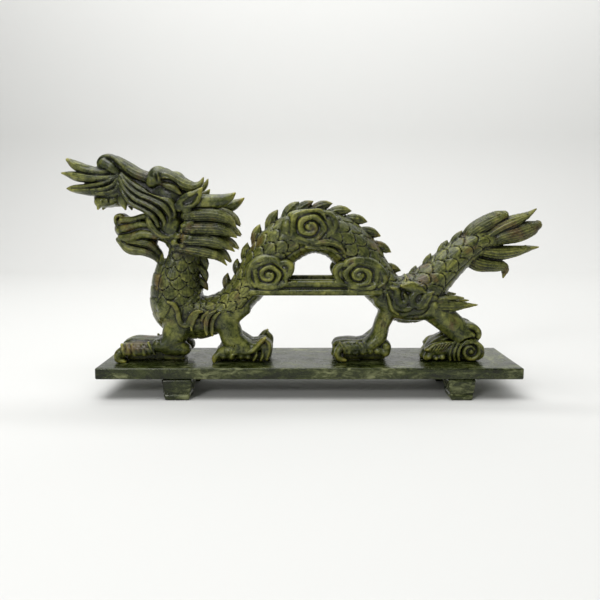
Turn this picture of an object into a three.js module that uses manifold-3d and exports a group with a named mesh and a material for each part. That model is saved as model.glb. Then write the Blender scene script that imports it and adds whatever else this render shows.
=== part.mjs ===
// A carved serpentine dragon standing on a polished stone plinth with two trestle feet.
// Millimetres. +Z is up, +X runs from the dragon's muzzle to its tail tuft, -Y is its left flank.
import * as THREE from "three";
import { mergeVertices } from "three/addons/utils/BufferGeometryUtils.js";
import Module from "manifold-3d";

// Gaps between pieces that are glued face to face
const GLUE_GAP = 0.3;

// Plinth slab
const SLAB_LENGTH = 316;
const SLAB_DEPTH = 70;
const SLAB_THICKNESS = 8.5;
const SLAB_BEVEL = 1;
const SLAB_CENTRE_X = 4.3;

// Plinth feet: two trestles that run across the slab, each with an arch through it
const FOOT_HEIGHT = 15.7;
const FOOT_TAPER = 2.4;
const LEFT_FOOT_WIDTH = 23.2;
const LEFT_FOOT_X = -93.8;
const RIGHT_FOOT_WIDTH = 21.1;
const RIGHT_FOOT_X = 117.2;
const ARCH_WIDTH = 35;
const ARCH_RAIL = 5;

// Dragon
const DRAGON_SCALE = 1;
const BODY_HALF_WIDTH = 19;
const FIN_LENGTH = 13;
const FIN_HEIGHT = 5;
const FIN_THICKNESS = 4;
const FIN_ROOT = 3;
const BAR_LEFT_X = -40;
const BAR_RIGHT_X = 60;
const BAR_BOTTOM_Z = 51.5;
const BAR_TOP_Z = 63.5;
const BAR_HALF_WIDTH = 19;
const SCROLL_THICKNESS = 5;
const SCROLL_PROUD = 1.5;
const MANE_HALF_SPREAD = 14;
const HORN_HALF_SPREAD = 11;

const slabBottom = FOOT_HEIGHT + GLUE_GAP;
const dragonBase = slabBottom + SLAB_THICKNESS + GLUE_GAP;

const wasm = await Module();
wasm.setup();

function solidOf(geometry) {
  geometry.deleteAttribute("normal");
  geometry.deleteAttribute("uv");
  const merged = mergeVertices(geometry, 1e-4);
  return new wasm.Manifold(
    new wasm.Mesh({
      numProp: 3,
      vertProperties: merged.attributes.position.array,
      triVerts: new Uint32Array(merged.index.array),
    }),
  );
}

function geometryOf(solid) {
  const mesh = solid.getMesh();
  const geometry = new THREE.BufferGeometry();
  geometry.setAttribute("position", new THREE.BufferAttribute(mesh.vertProperties, 3));
  geometry.setIndex(new THREE.BufferAttribute(mesh.triVerts, 1));
  geometry.computeVertexNormals();
  return geometry;
}

function joined(solids) {
  return solids.reduce((whole, piece) => whole.add(piece));
}

// A closed body swept along a curve in the XZ plane. Each station is
// [x, z, half thickness in the plane, half width along Y, y].
function sweep(stations, sides = 10, steps = 2) {
  const centres = stations.map(([x, z, , , y = 0]) => new THREE.Vector3(x, y, z));
  const sizes = stations.map(([, , thick, wide]) => new THREE.Vector3(thick, wide, 0));
  const path = new THREE.CatmullRomCurve3(centres);
  const section = new THREE.CatmullRomCurve3(sizes);
  const geometry = new THREE.CylinderGeometry(1, 1, 1, sides, steps * (stations.length - 1));
  const position = geometry.attributes.position;
  for (let i = 0; i < position.count; i++) {
    const t = THREE.MathUtils.clamp(position.getY(i) + 0.5, 0, 1);
    const centre = path.getPoint(t);
    const size = section.getPoint(t);
    const along = path.getTangent(t).setY(0).normalize();
    const across = position.getX(i) * size.x;
    const outward = position.getZ(i) * size.y;
    position.setXYZ(
      i,
      centre.x - along.z * across,
      centre.y + outward,
      centre.z + along.x * across,
    );
  }
  return solidOf(geometry);
}

function ellipsoid(x, y, z, radiusX, radiusY, radiusZ, sides = 14) {
  const geometry = new THREE.SphereGeometry(1, sides, Math.round(sides * 0.7));
  geometry.scale(radiusX, radiusY, radiusZ);
  geometry.translate(x, y, z);
  return solidOf(geometry);
}

function box(xFrom, xTo, yFrom, yTo, zFrom, zTo) {
  const geometry = new THREE.BoxGeometry(xTo - xFrom, yTo - yFrom, zTo - zFrom);
  geometry.translate((xFrom + xTo) / 2, (yFrom + yTo) / 2, (zFrom + zTo) / 2);
  return solidOf(geometry);
}

// An outline in the XZ plane given a thickness along Y.
function plate(outline, thickness, y = 0) {
  const shape = new THREE.Shape(outline.map(([x, z]) => new THREE.Vector2(x, z)));
  const geometry = new THREE.ExtrudeGeometry(shape, { depth: thickness, bevelEnabled: false });
  geometry.rotateX(Math.PI / 2);
  geometry.translate(0, y + thickness / 2, 0);
  return solidOf(geometry);
}

// The same stations on the left and the right flank.
function bothSides(stations, halfSpread, sides, steps) {
  return [-1, 1].map((side) =>
    sweep(
      stations.map(([x, z, thick, wide]) => [x, z, thick, wide, side * halfSpread]),
      sides,
      steps,
    ),
  );
}

// --- Dragon: heights are measured from its soles ---

// Neck, chest, arched back, hips and tail as one S-shaped trunk
const TRUNK = [
  [-90, 92, 13, 0.8],
  [-95, 75, 15.5, 0.9],
  [-98.5, 57, 19.5, 1],
  [-95, 40, 22.5, 1],
  [-79, 34, 18.5, 1],
  [-62, 40.5, 15, 1],
  [-45.8, 52.9, 13.6, 1],
  [-30.8, 72, 15.9, 1],
  [-16, 89.2, 16.9, 1],
  [4.2, 98.9, 16.9, 1],
  [24.3, 95, 16.4, 1],
  [41.3, 80.9, 16.9, 1],
  [53.2, 65, 15, 1],
  [64, 53, 14.4, 1],
  [75, 47.5, 18.5, 1],
  [88, 49, 19, 1],
  [102, 63, 13.8, 0.85],
  [115, 76.5, 12, 0.7],
  [126.5, 85.5, 10.8, 0.6],
  [135, 91, 9.5, 0.5],
];

function trunk() {
  return sweep(
    TRUNK.map(([x, z, thick, share]) => [x, z, thick, share * BODY_HALF_WIDTH]),
    14,
  );
}

// Leaf-shaped fins stand along the ridge from the nape to the tail and lean back.
function fins() {
  const first = 0.03;
  const last = 0.97;
  const ridge = new THREE.CatmullRomCurve3(
    TRUNK.map(([x, z]) => new THREE.Vector3(x, 0, z)),
  );
  const thickness = new THREE.CatmullRomCurve3(
    TRUNK.map(([, , thick]) => new THREE.Vector3(thick, 0, 0)),
  );
  const outer = [];
  const samples = 300;
  for (let i = 0; i <= samples; i++) {
    const t = first + ((last - first) * i) / samples;
    const along = ridge.getTangent(t);
    const out = new THREE.Vector3(-along.z, 0, along.x);
    outer.push(ridge.getPoint(t).addScaledVector(out, thickness.getPoint(t).x));
  }
  const crest = new THREE.CatmullRomCurve3(outer);
  const count = Math.floor(crest.getLength() / FIN_LENGTH);
  const made = [];
  for (let i = 0; i < count; i++) {
    const t = (i + 0.5) / count;
    const foot = crest.getPointAt(t);
    const along = crest.getTangentAt(t);
    const out = new THREE.Vector3(-along.z, 0, along.x);
    const at = (a, h) => [
      foot.x + along.x * a + out.x * h,
      foot.z + along.z * a + out.z * h,
    ];
    const half = FIN_LENGTH / 2;
    made.push(
      plate(
        [
          at(-half, -FIN_ROOT),
          at(half * 0.6, -FIN_ROOT),
          at(half * 0.75, FIN_HEIGHT * 0.35),
          at(half * 0.9, FIN_HEIGHT),
          at(-half * 0.3, FIN_HEIGHT * 0.75),
          at(-half, FIN_HEIGHT * 0.2),
        ],
        FIN_THICKNESS,
      ),
    );
  }
  return made;
}

// The cloud bar that ties the two sides of the arched back together
function bar() {
  const chamfer = 2;
  return plate(
    [
      [BAR_LEFT_X, BAR_BOTTOM_Z + chamfer],
      [BAR_LEFT_X + chamfer, BAR_BOTTOM_Z],
      [BAR_RIGHT_X - chamfer, BAR_BOTTOM_Z],
      [BAR_RIGHT_X, BAR_BOTTOM_Z + chamfer],
      [BAR_RIGHT_X, BAR_TOP_Z],
      [BAR_LEFT_X, BAR_TOP_Z],
    ],
    2 * BAR_HALF_WIDTH,
  );
}

// A lobed cloud scroll carved proud of the flank, with a raised eye
function scroll(x, z, radiusX, radiusZ, lobes) {
  const outline = [];
  const points = lobes * 3;
  for (let i = 0; i < points; i++) {
    const angle = (2 * Math.PI * i) / points;
    const ripple = 1 + 0.07 * Math.cos(lobes * angle);
    outline.push([
      x + radiusX * ripple * Math.cos(angle),
      z + radiusZ * ripple * Math.sin(angle),
    ]);
  }
  const face = BODY_HALF_WIDTH + SCROLL_PROUD;
  const parts = [];
  for (const side of [-1, 1]) {
    parts.push(plate(outline, SCROLL_THICKNESS, side * (face - SCROLL_THICKNESS / 2)));
    parts.push(ellipsoid(x, side * face, z, radiusX * 0.35, 2, radiusZ * 0.35, 10));
  }
  return parts;
}

function scrolls() {
  return [
    ...scroll(-24, 69, 16, 12, 6),
    ...scroll(42, 67, 17.5, 12.5, 6),
    ...scroll(5, 102.5, 19, 13, 6),
    ...bothSides([[12, 93, 5, 3], [22, 87, 4, 3], [30.5, 83.5, 0.6, 0.8]], BODY_HALF_WIDTH),
  ];
}

function head() {
  const muzzle = [
    [-98, 128, 16, 17],
    [-112, 128, 14.5, 15],
    [-124, 127, 11.5, 13],
    [-136, 131.5, 13.5, 12],
    [-147, 132, 15, 11],
    [-157, 129, 11.5, 9],
  ];
  const skull = [
    [-90, 80, 13, 15],
    [-92, 90, 14, 17],
    [-98, 105, 20, 19],
    [-99, 124, 20, 18],
    [-99, 138, 12, 14],
  ];
  const jaw = [
    [-104, 101, 11, 14],
    [-116, 103, 9.5, 12],
    [-128, 104.5, 8, 10],
    [-138, 104, 7, 9],
    [-144, 105, 4.5, 7],
  ];
  const tongue = [[-138, 106, 4, 6], [-142.5, 109.5, 2.6, 5], [-146, 107, 0.8, 3]];
  const beard = [
    [-137, 102, 7, 8],
    [-137, 95, 6.5, 8],
    [-129, 89, 8, 8],
    [-119, 86, 7, 7],
    [-112, 79, 4, 5],
    [-109, 73, 2.5, 4],
  ];
  const whiskers = [
    [[-148, 141, 5, 9], [-160, 143, 4, 8], [-171, 146.5, 3.4, 6], [-179.7, 152.5, 0.7, 2]],
    [[-148, 138, 5, 9], [-162, 138.7, 4.3, 8], [-174, 140.5, 3.8, 6], [-183.4, 142.4, 0.7, 2]],
    [[-148, 130, 6, 9], [-163, 130.5, 4.5, 8], [-172, 131, 3.8, 6], [-179.6, 131.3, 1.4, 3]],
  ];
  return [
    sweep(skull, 14),
    sweep(muzzle, 14),
    sweep(jaw, 10),
    sweep(tongue, 8),
    sweep(beard, 8),
    ...whiskers.map((stations) => sweep(stations, 8)),
    ...[-1, 1].map((side) => ellipsoid(-148, side * 5.5, 148.6, 7, 5.5, 6.8, 10)),
    ...bothSides(
      [[-119, 135, 4, 4], [-109, 141.5, 4.8, 6], [-96, 138.5, 5, 6], [-84, 132, 4.5, 5], [-74.5, 137.8, 0.6, 1]],
      MANE_HALF_SPREAD - 1,
      8,
    ),
    ...bothSides(
      [[-96, 122, 5, 3], [-86, 123, 6.5, 4], [-75.5, 131, 0.7, 0.8]],
      MANE_HALF_SPREAD + 5,
      8,
    ),
  ];
}

// The left horn stands a little higher and shorter than the right one.
function horns() {
  const left = [[-90, 120, 7, 6], [-72, 120.5, 6, 5.5], [-60, 123, 4, 4], [-51.3, 125.6, 0.8, 1]];
  const right = [[-90, 117, 7, 6], [-70, 117, 6, 5.5], [-57, 119, 4, 4], [-47.7, 123, 0.8, 1]];
  return [
    sweep(left.map((station) => [...station, -HORN_HALF_SPREAD]), 10),
    sweep(right.map((station) => [...station, HORN_HALF_SPREAD]), 10),
  ];
}

// Four pointed locks hang behind each cheek.
function mane() {
  const locks = [
    [[-88, 109, 5, 5], [-73, 110, 5, 5], [-58, 108, 4.6, 4.5], [-51, 102.3, 0.7, 1]],
    [[-88, 100, 5, 5], [-72, 101, 5, 5], [-58, 99.5, 4.4, 4.5], [-51.5, 94.4, 0.7, 1]],
    [[-90, 91, 5, 5], [-74, 91.5, 5, 5], [-61, 89.5, 4.2, 4.5], [-54, 83.7, 0.7, 1]],
    [[-95, 84, 4.5, 5], [-82, 84, 4.8, 5], [-69, 82.5, 4.6, 4.5], [-60.3, 73.4, 0.7, 1]],
  ];
  return locks.flatMap((stations) => bothSides(stations, MANE_HALF_SPREAD, 8));
}

// Each leg ends in a broad paw; the front pair stands a little to one side of the middle.
function legs() {
  const frontShift = -2;
  const frontReach = [
    [-95, 28, 12, 15],
    [-100, 14, 10, 17],
    [-110, 8, 8, 19],
    [-121, 7, 7.5, 19],
    [-133, 7.5, 8.5, 18],
    [-145.5, 4, 3, 14],
  ];
  const frontReachHeel = [[-87.5, 7, 5, 16], [-97, 8, 8, 17], [-110, 8, 8, 18]];
  const frontRear = [
    [-63, 34, 8.5, 15],
    [-57, 20, 10.5, 17],
    [-50, 9.5, 9.5, 19],
    [-38, 8, 8, 18],
    [-27.5, 8.5, 6.5, 14],
  ];
  const frontRearHeel = [[-70.5, 6, 4.5, 17], [-61, 7, 8, 19], [-50, 7.5, 8, 19]];
  const hindReach = [
    [65.5, 45, 8.5, 14],
    [63, 31, 6.5, 14],
    [60, 19, 8, 16],
    [50, 8.5, 8, 18],
    [35, 7, 7.5, 18],
    [23, 6, 4.5, 14],
  ];
  const hindReachHeel = [[55, 8, 8, 18], [62, 7, 8, 18], [69, 6, 5, 16]];
  const hindRear = [
    [98, 44, 14, 14],
    [109, 34, 11.5, 15],
    [120, 21, 11.5, 17],
    [132, 14, 12.5, 17],
    [140.5, 8, 6, 13],
  ];
  const hindRearToes = [[94, 5.5, 4.5, 14], [104, 7, 7, 18], [118, 9.5, 9.5, 18]];
  const shifted = [frontReach, frontReachHeel, frontRear, frontRearHeel].map((stations) =>
    stations.map((station) => [...station, frontShift]),
  );
  const paws = [...shifted, hindReach, hindReachHeel, hindRear, hindRearToes];
  return paws.map((stations) => sweep(stations, 10));
}

// Pointed locks behind the hind elbow, on both flanks
function elbowLocks() {
  const upper = [[100, 47, 5, 5], [115, 45.5, 3.5, 4.5], [126.5, 46.5, 1.4, 2]];
  const lower = [[103, 40, 5, 5], [118, 40.5, 4.6, 5], [130, 41.8, 3, 4], [138, 41.4, 0.6, 1]];
  return [...bothSides(upper, 10, 8), ...bothSides(lower, 10, 8)];
}

// The tail ends in five locks that fan out from its last joint.
function tuft() {
  const locks = [
    [[127, 88, 6, 6], [136, 98, 6.5, 8], [146, 105.5, 6.5, 7], [153.5, 112, 3, 4]],
    [[134, 88, 6, 6], [148, 98, 6, 8], [160, 105.5, 4.8, 7], [169.5, 110, 2.8, 4], [177, 115.3, 0.6, 1]],
    [[136, 84, 6, 6], [152, 89, 6.5, 8], [168, 95.5, 7.3, 8], [177, 100.5, 5.6, 6], [182.6, 103.6, 2, 3]],
    [[134, 78, 6, 6], [150, 80.5, 5.5, 8], [164, 83.5, 4.6, 7], [174, 85.7, 2.2, 4], [181.4, 87.1, 0.6, 1]],
    [[126, 78, 6, 6], [140, 74, 6.5, 8], [151, 73, 5, 7], [156.5, 69.5, 3, 4], [156.8, 63.2, 0.7, 1]],
  ];
  return locks.map((stations) => sweep(stations, 10));
}

function dragon() {
  const whole = joined([
    trunk(),
    bar(),
    ...fins(),
    ...scrolls(),
    ...head(),
    ...horns(),
    ...mane(),
    ...legs(),
    ...elbowLocks(),
    ...tuft(),
  ]);
  const reach = 400;
  const soles = whole.subtract(box(-reach, reach, -reach, reach, -reach, 0));
  const geometry = geometryOf(soles);
  geometry.scale(DRAGON_SCALE, DRAGON_SCALE, DRAGON_SCALE);
  return geometry;
}

// --- Plinth ---

function slab() {
  const inner = SLAB_THICKNESS - 2 * SLAB_BEVEL;
  const halfLength = SLAB_LENGTH / 2 - SLAB_BEVEL;
  const halfDepth = SLAB_DEPTH / 2 - SLAB_BEVEL;
  const shape = new THREE.Shape([
    new THREE.Vector2(-halfLength, -halfDepth),
    new THREE.Vector2(halfLength, -halfDepth),
    new THREE.Vector2(halfLength, halfDepth),
    new THREE.Vector2(-halfLength, halfDepth),
  ]);
  const geometry = new THREE.ExtrudeGeometry(shape, {
    depth: inner,
    bevelThickness: SLAB_BEVEL,
    bevelSize: SLAB_BEVEL,
    bevelSegments: 1,
  });
  geometry.translate(0, 0, SLAB_BEVEL);
  return geometryOf(solidOf(geometry));
}

// A trestle foot: an arched profile across the slab, narrower at the floor than at the top
function foot(width) {
  const halfDepth = SLAB_DEPTH / 2;
  const crown = FOOT_HEIGHT - ARCH_RAIL;
  const shoulder = crown / 2;
  const shape = new THREE.Shape();
  shape.moveTo(-halfDepth, 0);
  shape.lineTo(-ARCH_WIDTH / 2, 0);
  shape.lineTo(-ARCH_WIDTH / 2, shoulder);
  shape.quadraticCurveTo(-ARCH_WIDTH / 2, crown, -ARCH_WIDTH / 4, crown);
  shape.lineTo(ARCH_WIDTH / 4, crown);
  shape.quadraticCurveTo(ARCH_WIDTH / 2, crown, ARCH_WIDTH / 2, shoulder);
  shape.lineTo(ARCH_WIDTH / 2, 0);
  shape.lineTo(halfDepth, 0);
  shape.lineTo(halfDepth, FOOT_HEIGHT);
  shape.lineTo(-halfDepth, FOOT_HEIGHT);
  const geometry = new THREE.ExtrudeGeometry(shape, {
    depth: width,
    bevelEnabled: false,
    curveSegments: 5,
  });
  geometry.translate(0, 0, -width / 2);
  const position = geometry.attributes.position;
  for (let i = 0; i < position.count; i++) {
    const height = position.getY(i);
    const narrowing = 1 - (2 * FOOT_TAPER * (1 - height / FOOT_HEIGHT)) / width;
    position.setXYZ(i, position.getZ(i) * narrowing, position.getX(i), height);
  }
  return geometryOf(solidOf(geometry));
}

const CARVING_STONE = { color: 0x4d5230, roughness: 0.32, metalness: 0 };
const PLINTH_STONE = { color: 0x43463a, roughness: 0.25, metalness: 0 };

function piece(name, geometry, look, x, z) {
  const mesh = new THREE.Mesh(geometry, new THREE.MeshStandardMaterial(look));
  mesh.name = name;
  mesh.position.set(x, 0, z);
  return mesh;
}

const carving = dragon();
carving.computeBoundingBox();
const middle = carving.boundingBox.getCenter(new THREE.Vector3());

const figurine = new THREE.Group();
figurine.add(
  piece("dragon", carving, CARVING_STONE, 0, dragonBase),
  piece("plinth_slab", slab(), PLINTH_STONE, SLAB_CENTRE_X, slabBottom),
  piece("plinth_foot_left", foot(LEFT_FOOT_WIDTH), PLINTH_STONE, LEFT_FOOT_X, 0),
  piece("plinth_foot_right", foot(RIGHT_FOOT_WIDTH), PLINTH_STONE, RIGHT_FOOT_X, 0),
);
// The origin is on the floor, midway along the dragon.
figurine.position.x = -middle.x;

export default figurine;
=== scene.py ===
"""A carved serpentine dragon on a polished stone plinth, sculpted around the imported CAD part.

The dragon is modelled like clay: a distance field on a fine grid, to which rounded forms are added one
after another, and whose skin is then taken off as one closed mesh. Sculpting numbers are millimetres,
with x along the dragon, y across it and z above its soles. The scene itself is in metres.
"""

import math

import bpy
import numpy as np
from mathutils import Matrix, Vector


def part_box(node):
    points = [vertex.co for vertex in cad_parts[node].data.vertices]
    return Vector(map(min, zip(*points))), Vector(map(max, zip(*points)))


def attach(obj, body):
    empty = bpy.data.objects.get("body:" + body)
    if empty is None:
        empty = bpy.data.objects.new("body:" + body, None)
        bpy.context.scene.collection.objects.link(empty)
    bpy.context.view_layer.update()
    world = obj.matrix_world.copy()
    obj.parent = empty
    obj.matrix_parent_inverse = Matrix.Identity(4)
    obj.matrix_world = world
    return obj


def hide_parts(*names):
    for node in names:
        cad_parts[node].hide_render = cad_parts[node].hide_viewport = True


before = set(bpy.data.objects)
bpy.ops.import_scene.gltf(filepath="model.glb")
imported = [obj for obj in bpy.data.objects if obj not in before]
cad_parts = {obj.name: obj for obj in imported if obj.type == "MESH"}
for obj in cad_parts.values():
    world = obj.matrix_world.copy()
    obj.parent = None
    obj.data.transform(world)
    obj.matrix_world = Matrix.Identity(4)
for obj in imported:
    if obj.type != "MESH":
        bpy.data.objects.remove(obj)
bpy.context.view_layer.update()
MM = 0.001

DRAGON_LOW, DRAGON_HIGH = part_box("dragon")
SLAB_LOW, SLAB_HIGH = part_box("plinth_slab")

# Grid of the clay
GRID_STEP = 0.7
FAR = 6.0  # distances are kept to this many millimetres

# Trunk
HALF_WIDTH = 19.0
SCALE_ROW = 7.4  # from one row of scales to the next
SCALE_WIDTH = 11.4
SCALE_RELIEF = 2.3
BELLY_ANGLE = math.radians(124)
BELLY_PLATE = 7.0


# --- Clay ---


def smooth_min(a, b, blend):
    if blend <= 0:
        return np.minimum(a, b)
    h = np.clip(0.5 + 0.5 * (b - a) / blend, 0, 1)
    return b + (a - b) * h - blend * h * (1 - h)


def smoothstep(low, high, value):
    t = np.clip((value - low) / (high - low), 0, 1)
    return t * t * (3 - 2 * t)


class Clay:
    """A distance field, negative inside, on a regular grid that is symmetric about y = 0."""

    def __init__(self, low, high, step):
        self.step = step
        counts = [int(math.ceil((b - a) / step)) + 1 for a, b in zip(low, high)]
        counts[1] += 1 - counts[1] % 2
        start = [low[0], -step * (counts[1] - 1) / 2, low[2]]
        self.axes = [start[i] + step * np.arange(counts[i], dtype=np.float32) for i in range(3)]
        self.field = np.full(counts, FAR, np.float32)
        self.grain = np.zeros(counts, np.float32)

    def block(self, low, high):
        """The index ranges of a box and its x, y and z, shaped to broadcast."""
        ranges = []
        for axis, a, b in zip(self.axes, low, high):
            first = np.searchsorted(axis, a)
            last = max(np.searchsorted(axis, b), first + 1)
            ranges.append(slice(int(first), int(last)))
        x, y, z = (axis[r] for axis, r in zip(self.axes, ranges))
        return tuple(ranges), x[:, None, None], y[None, :, None], z[None, None, :]

    def add(self, where, distance, blend=0.0, grain=0.0):
        """Joins a form on. Grain is the phase of the fine lines that the tool left along it."""
        before = self.field[where]
        self.grain[where] = np.where(distance < before, grain, self.grain[where])
        self.field[where] = smooth_min(before, distance, blend)

    def carve(self, where, distance, blend=0.0):
        self.field[where] = -smooth_min(-self.field[where], distance, blend)

    def mirror(self):
        """Whatever has been made on one flank is made on the other as well."""
        other = self.field[:, ::-1, :]
        self.grain = np.where(other < self.field, self.grain[:, ::-1, :], self.grain)
        self.field = np.minimum(self.field, other)

    def blurred(self, radius):
        """The field averaged over a cube of about this half size, in millimetres."""
        half = max(1, int(round(radius / self.step)))
        out = np.clip(self.field, -FAR, FAR)
        for axis in range(3):
            pad = [(0, 0)] * 3
            pad[axis] = (half + 1, half)
            total = np.cumsum(np.pad(out, pad, mode="edge"), axis=axis, dtype=np.float64)
            upper = np.take(total, range(2 * half + 1, total.shape[axis]), axis=axis)
            lower = np.take(total, range(0, total.shape[axis] - 2 * half - 1), axis=axis)
            out = ((upper - lower) / (2 * half + 1)).astype(np.float32)
        return out

    def sample(self, field, points):
        """The value of a field at points, by trilinear interpolation."""
        index, share = [], []
        for i, axis in enumerate(self.axes):
            at = np.clip((points[:, i] - axis[0]) / self.step, 0, len(axis) - 1.001)
            index.append(at.astype(int))
            share.append(at - index[-1])
        value = np.zeros(len(points))
        for corner in range(8):
            bits = [(corner >> i) & 1 for i in range(3)]
            weight = np.ones(len(points))
            for i in range(3):
                weight *= share[i] if bits[i] else 1 - share[i]
            value += weight * field[tuple(index[i] + bits[i] for i in range(3))]
        return value

    def skin(self):
        """Vertices and quads of the surface where the field is zero, by surface nets."""
        f = self.field
        inside = f < 0
        cells = tuple(n - 1 for n in f.shape)
        corner = lambda a, i, j, k: a[i : i + cells[0], j : j + cells[1], k : k + cells[2]]
        count = np.zeros(cells, np.int8)
        for i, j, k in np.ndindex(2, 2, 2):
            count += corner(inside, i, j, k)
        at = np.nonzero((count > 0) & (count < 8))
        number = np.full(cells, -1, np.int32)
        number[at] = np.arange(len(at[0]))
        total = np.zeros((len(at[0]), 3))
        hits = np.zeros(len(at[0]))
        for axis in range(3):
            for u, v in np.ndindex(2, 2):
                a = [0, 0, 0]
                a[(axis + 1) % 3], a[(axis + 2) % 3] = u, v
                b = list(a)
                b[axis] = 1
                fa = f[tuple(at[i] + a[i] for i in range(3))].astype(float)
                fb = f[tuple(at[i] + b[i] for i in range(3))].astype(float)
                crossing = (fa < 0) != (fb < 0)
                t = np.where(crossing, fa / np.where(crossing, fa - fb, 1), 0)
                point = np.tile(np.array(a, float), (len(t), 1))
                point[:, axis] = t
                total += point * crossing[:, None]
                hits += crossing
        corner_of_cell = np.stack(at, 1) + total / hits[:, None]
        start = np.array([axis[0] for axis in self.axes])
        vertices = start + corner_of_cell * self.step
        quads = []
        for axis in range(3):
            u, v = (axis + 1) % 3, (axis + 2) % 3
            here = [slice(1, -1)] * 3
            there = [slice(1, -1)] * 3
            here[axis], there[axis] = slice(0, -1), slice(1, None)
            change = inside[tuple(here)] != inside[tuple(there)]
            edge = np.array(np.nonzero(change))
            for i in range(3):
                edge[i] += 0 if i == axis else 1
            starts_inside = inside[tuple(edge)]
            ring = []
            for du, dv in ((-1, -1), (0, -1), (0, 0), (-1, 0)):
                cell = edge.copy()
                cell[u] += du
                cell[v] += dv
                ring.append(number[tuple(cell)])
            ring = np.stack(ring, 1)
            ring[~starts_inside] = ring[~starts_inside][:, ::-1]
            quads.append(ring)
        return vertices, np.concatenate(quads)


# --- Tools that shape the clay ---


def spline(stations, spacing):
    """A Catmull-Rom curve through the stations, resampled about every `spacing` millimetres."""
    points = np.array(stations, float)
    ends = [2 * points[0] - points[1], *points, 2 * points[-1] - points[-2]]
    rows = []
    for a, b, c, d in zip(ends, ends[1:], ends[2:], ends[3:]):
        steps = max(2, int(np.hypot(*(c - b)[:2]) / spacing))
        t = (np.arange(steps) / steps)[:, None]
        rows.append(
            0.5 * (2 * b + (c - a) * t + (2 * a - 5 * b + 4 * c - d) * t**2 + (3 * b - a - 3 * c + d) * t**3)
        )
    rows.append(points[-1:])
    return np.concatenate(rows)


class Course:
    """How each point of a block lies to a curve in the xz plane: s along it, q to its left, and the
    overshoot past its ends. Stations are (x, z, half thickness, half width, y)."""

    def __init__(self, stations, x, z, spacing=0.8):
        rows = spline([list(s) + [0.0] * (5 - len(s)) for s in stations], spacing)
        rows[:, 2:4] = np.maximum(rows[:, 2:4], 0.3)
        step = np.diff(rows[:, :2], axis=0)
        length = np.concatenate([[0], np.cumsum(np.hypot(*step.T))])
        tangent = np.gradient(rows[:, :2], axis=0)
        tangent /= np.hypot(*tangent.T)[:, None]
        px, pz = (a[:, 0].astype(np.float32) for a in (x[:, 0], z[0].T))
        nearest = np.empty((len(px), len(pz)), np.int32)
        for i, value in enumerate(px):
            gap = (value - rows[:, 0]) ** 2 + (pz[:, None] - rows[:, 1]) ** 2
            nearest[i] = gap.argmin(1)
        dx = px[:, None] - rows[nearest, 0]
        dz = pz[None, :] - rows[nearest, 1]
        tx, tz = tangent[nearest, 0], tangent[nearest, 1]
        along = dx * tx + dz * tz
        self.length = length[-1]
        s = length[nearest] + along
        over = np.maximum(np.maximum(-s, s - self.length), 0)
        flat = lambda a: a.astype(np.float32)[:, None, :]
        self.s, self.over = flat(np.clip(s, 0, self.length)), flat(over)
        self.q = flat(dz * tx - dx * tz)
        self.thick = flat(np.interp(self.s[:, 0], length, rows[:, 2]))
        self.wide = flat(np.interp(self.s[:, 0], length, rows[:, 3]))
        self.y = flat(np.interp(self.s[:, 0], length, rows[:, 4]))

    def distance(self, y):
        """Distance to the elliptical tube."""
        v = y - self.y
        k0 = np.sqrt((self.q / self.thick) ** 2 + (v / self.wide) ** 2 + (self.over / self.thick) ** 2)
        k1 = np.sqrt(
            (self.q / self.thick**2) ** 2 + (v / self.wide**2) ** 2 + (self.over / self.thick**2) ** 2
        )
        return k0 * (k0 - 1) / np.maximum(k1, 1e-6)

    def band(self, y):
        """Distance to a band with a flattish face and rounded edges."""
        v = (y - self.y) / self.wide
        section = ((self.q / self.thick) ** 4 + v**4 + (self.over / self.thick) ** 4) ** 0.25
        return (section - 1) * np.minimum(self.thick, self.wide)

    def angle(self, y):
        """Angle round the tube, 0 on its left edge and a right angle on its near and far faces."""
        return np.arctan2(np.abs(y - self.y) / self.wide, self.q / self.thick)


def reach(stations, extra):
    """A box round the stations with room for their thickness."""
    low = [min(s[0] - s[2] for s in stations), min((s[4] if len(s) > 4 else 0) - s[3] for s in stations),
           min(s[1] - s[2] for s in stations)]
    high = [max(s[0] + s[2] for s in stations), max((s[4] if len(s) > 4 else 0) + s[3] for s in stations),
            max(s[1] + s[2] for s in stations)]
    return [a - extra for a in low], [b + extra for b in high]


def lock(clay, stations, ridges=0.0, depth=0.35, blend=0.8, flat=False):
    """A tapering lock of hair, flame or flesh, with fine ridges along it about every `ridges` mm."""
    where, x, y, z = clay.block(*reach(stations, 3))
    course = Course(stations, x, z)
    distance = course.band(y) if flat else course.distance(y)
    grain = 0.0
    if ridges:
        phase = 2 * np.pi * np.mean([s[2] for s in stations]) / ridges * course.angle(y)
        distance = distance - depth * np.cos(phase) * smoothstep(0.8, 2.5, course.thick)
        grain = 2 * phase
    clay.add(where, distance, blend, grain)


def groove(clay, stations, blend=0.6):
    """A furrow cut along the stations."""
    where, x, y, z = clay.block(*reach(stations, 2))
    clay.carve(where, Course(stations, x, z).distance(y), blend)


def ball(clay, centre, radii, blend=1.0, cut=False):
    low = [c - r - 3 for c, r in zip(centre, radii)]
    high = [c + r + 3 for c, r in zip(centre, radii)]
    where, x, y, z = clay.block(low, high)
    p = [(a - c) for a, c in zip((x, y, z), centre)]
    k0 = np.sqrt(sum((a / r) ** 2 for a, r in zip(p, radii)))
    k1 = np.sqrt(sum((a / r**2) ** 2 for a, r in zip(p, radii)))
    distance = k0 * (k0 - 1) / np.maximum(k1, 1e-6)
    if cut:
        clay.carve(where, distance, blend)
    else:
        clay.add(where, distance, blend)


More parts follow.
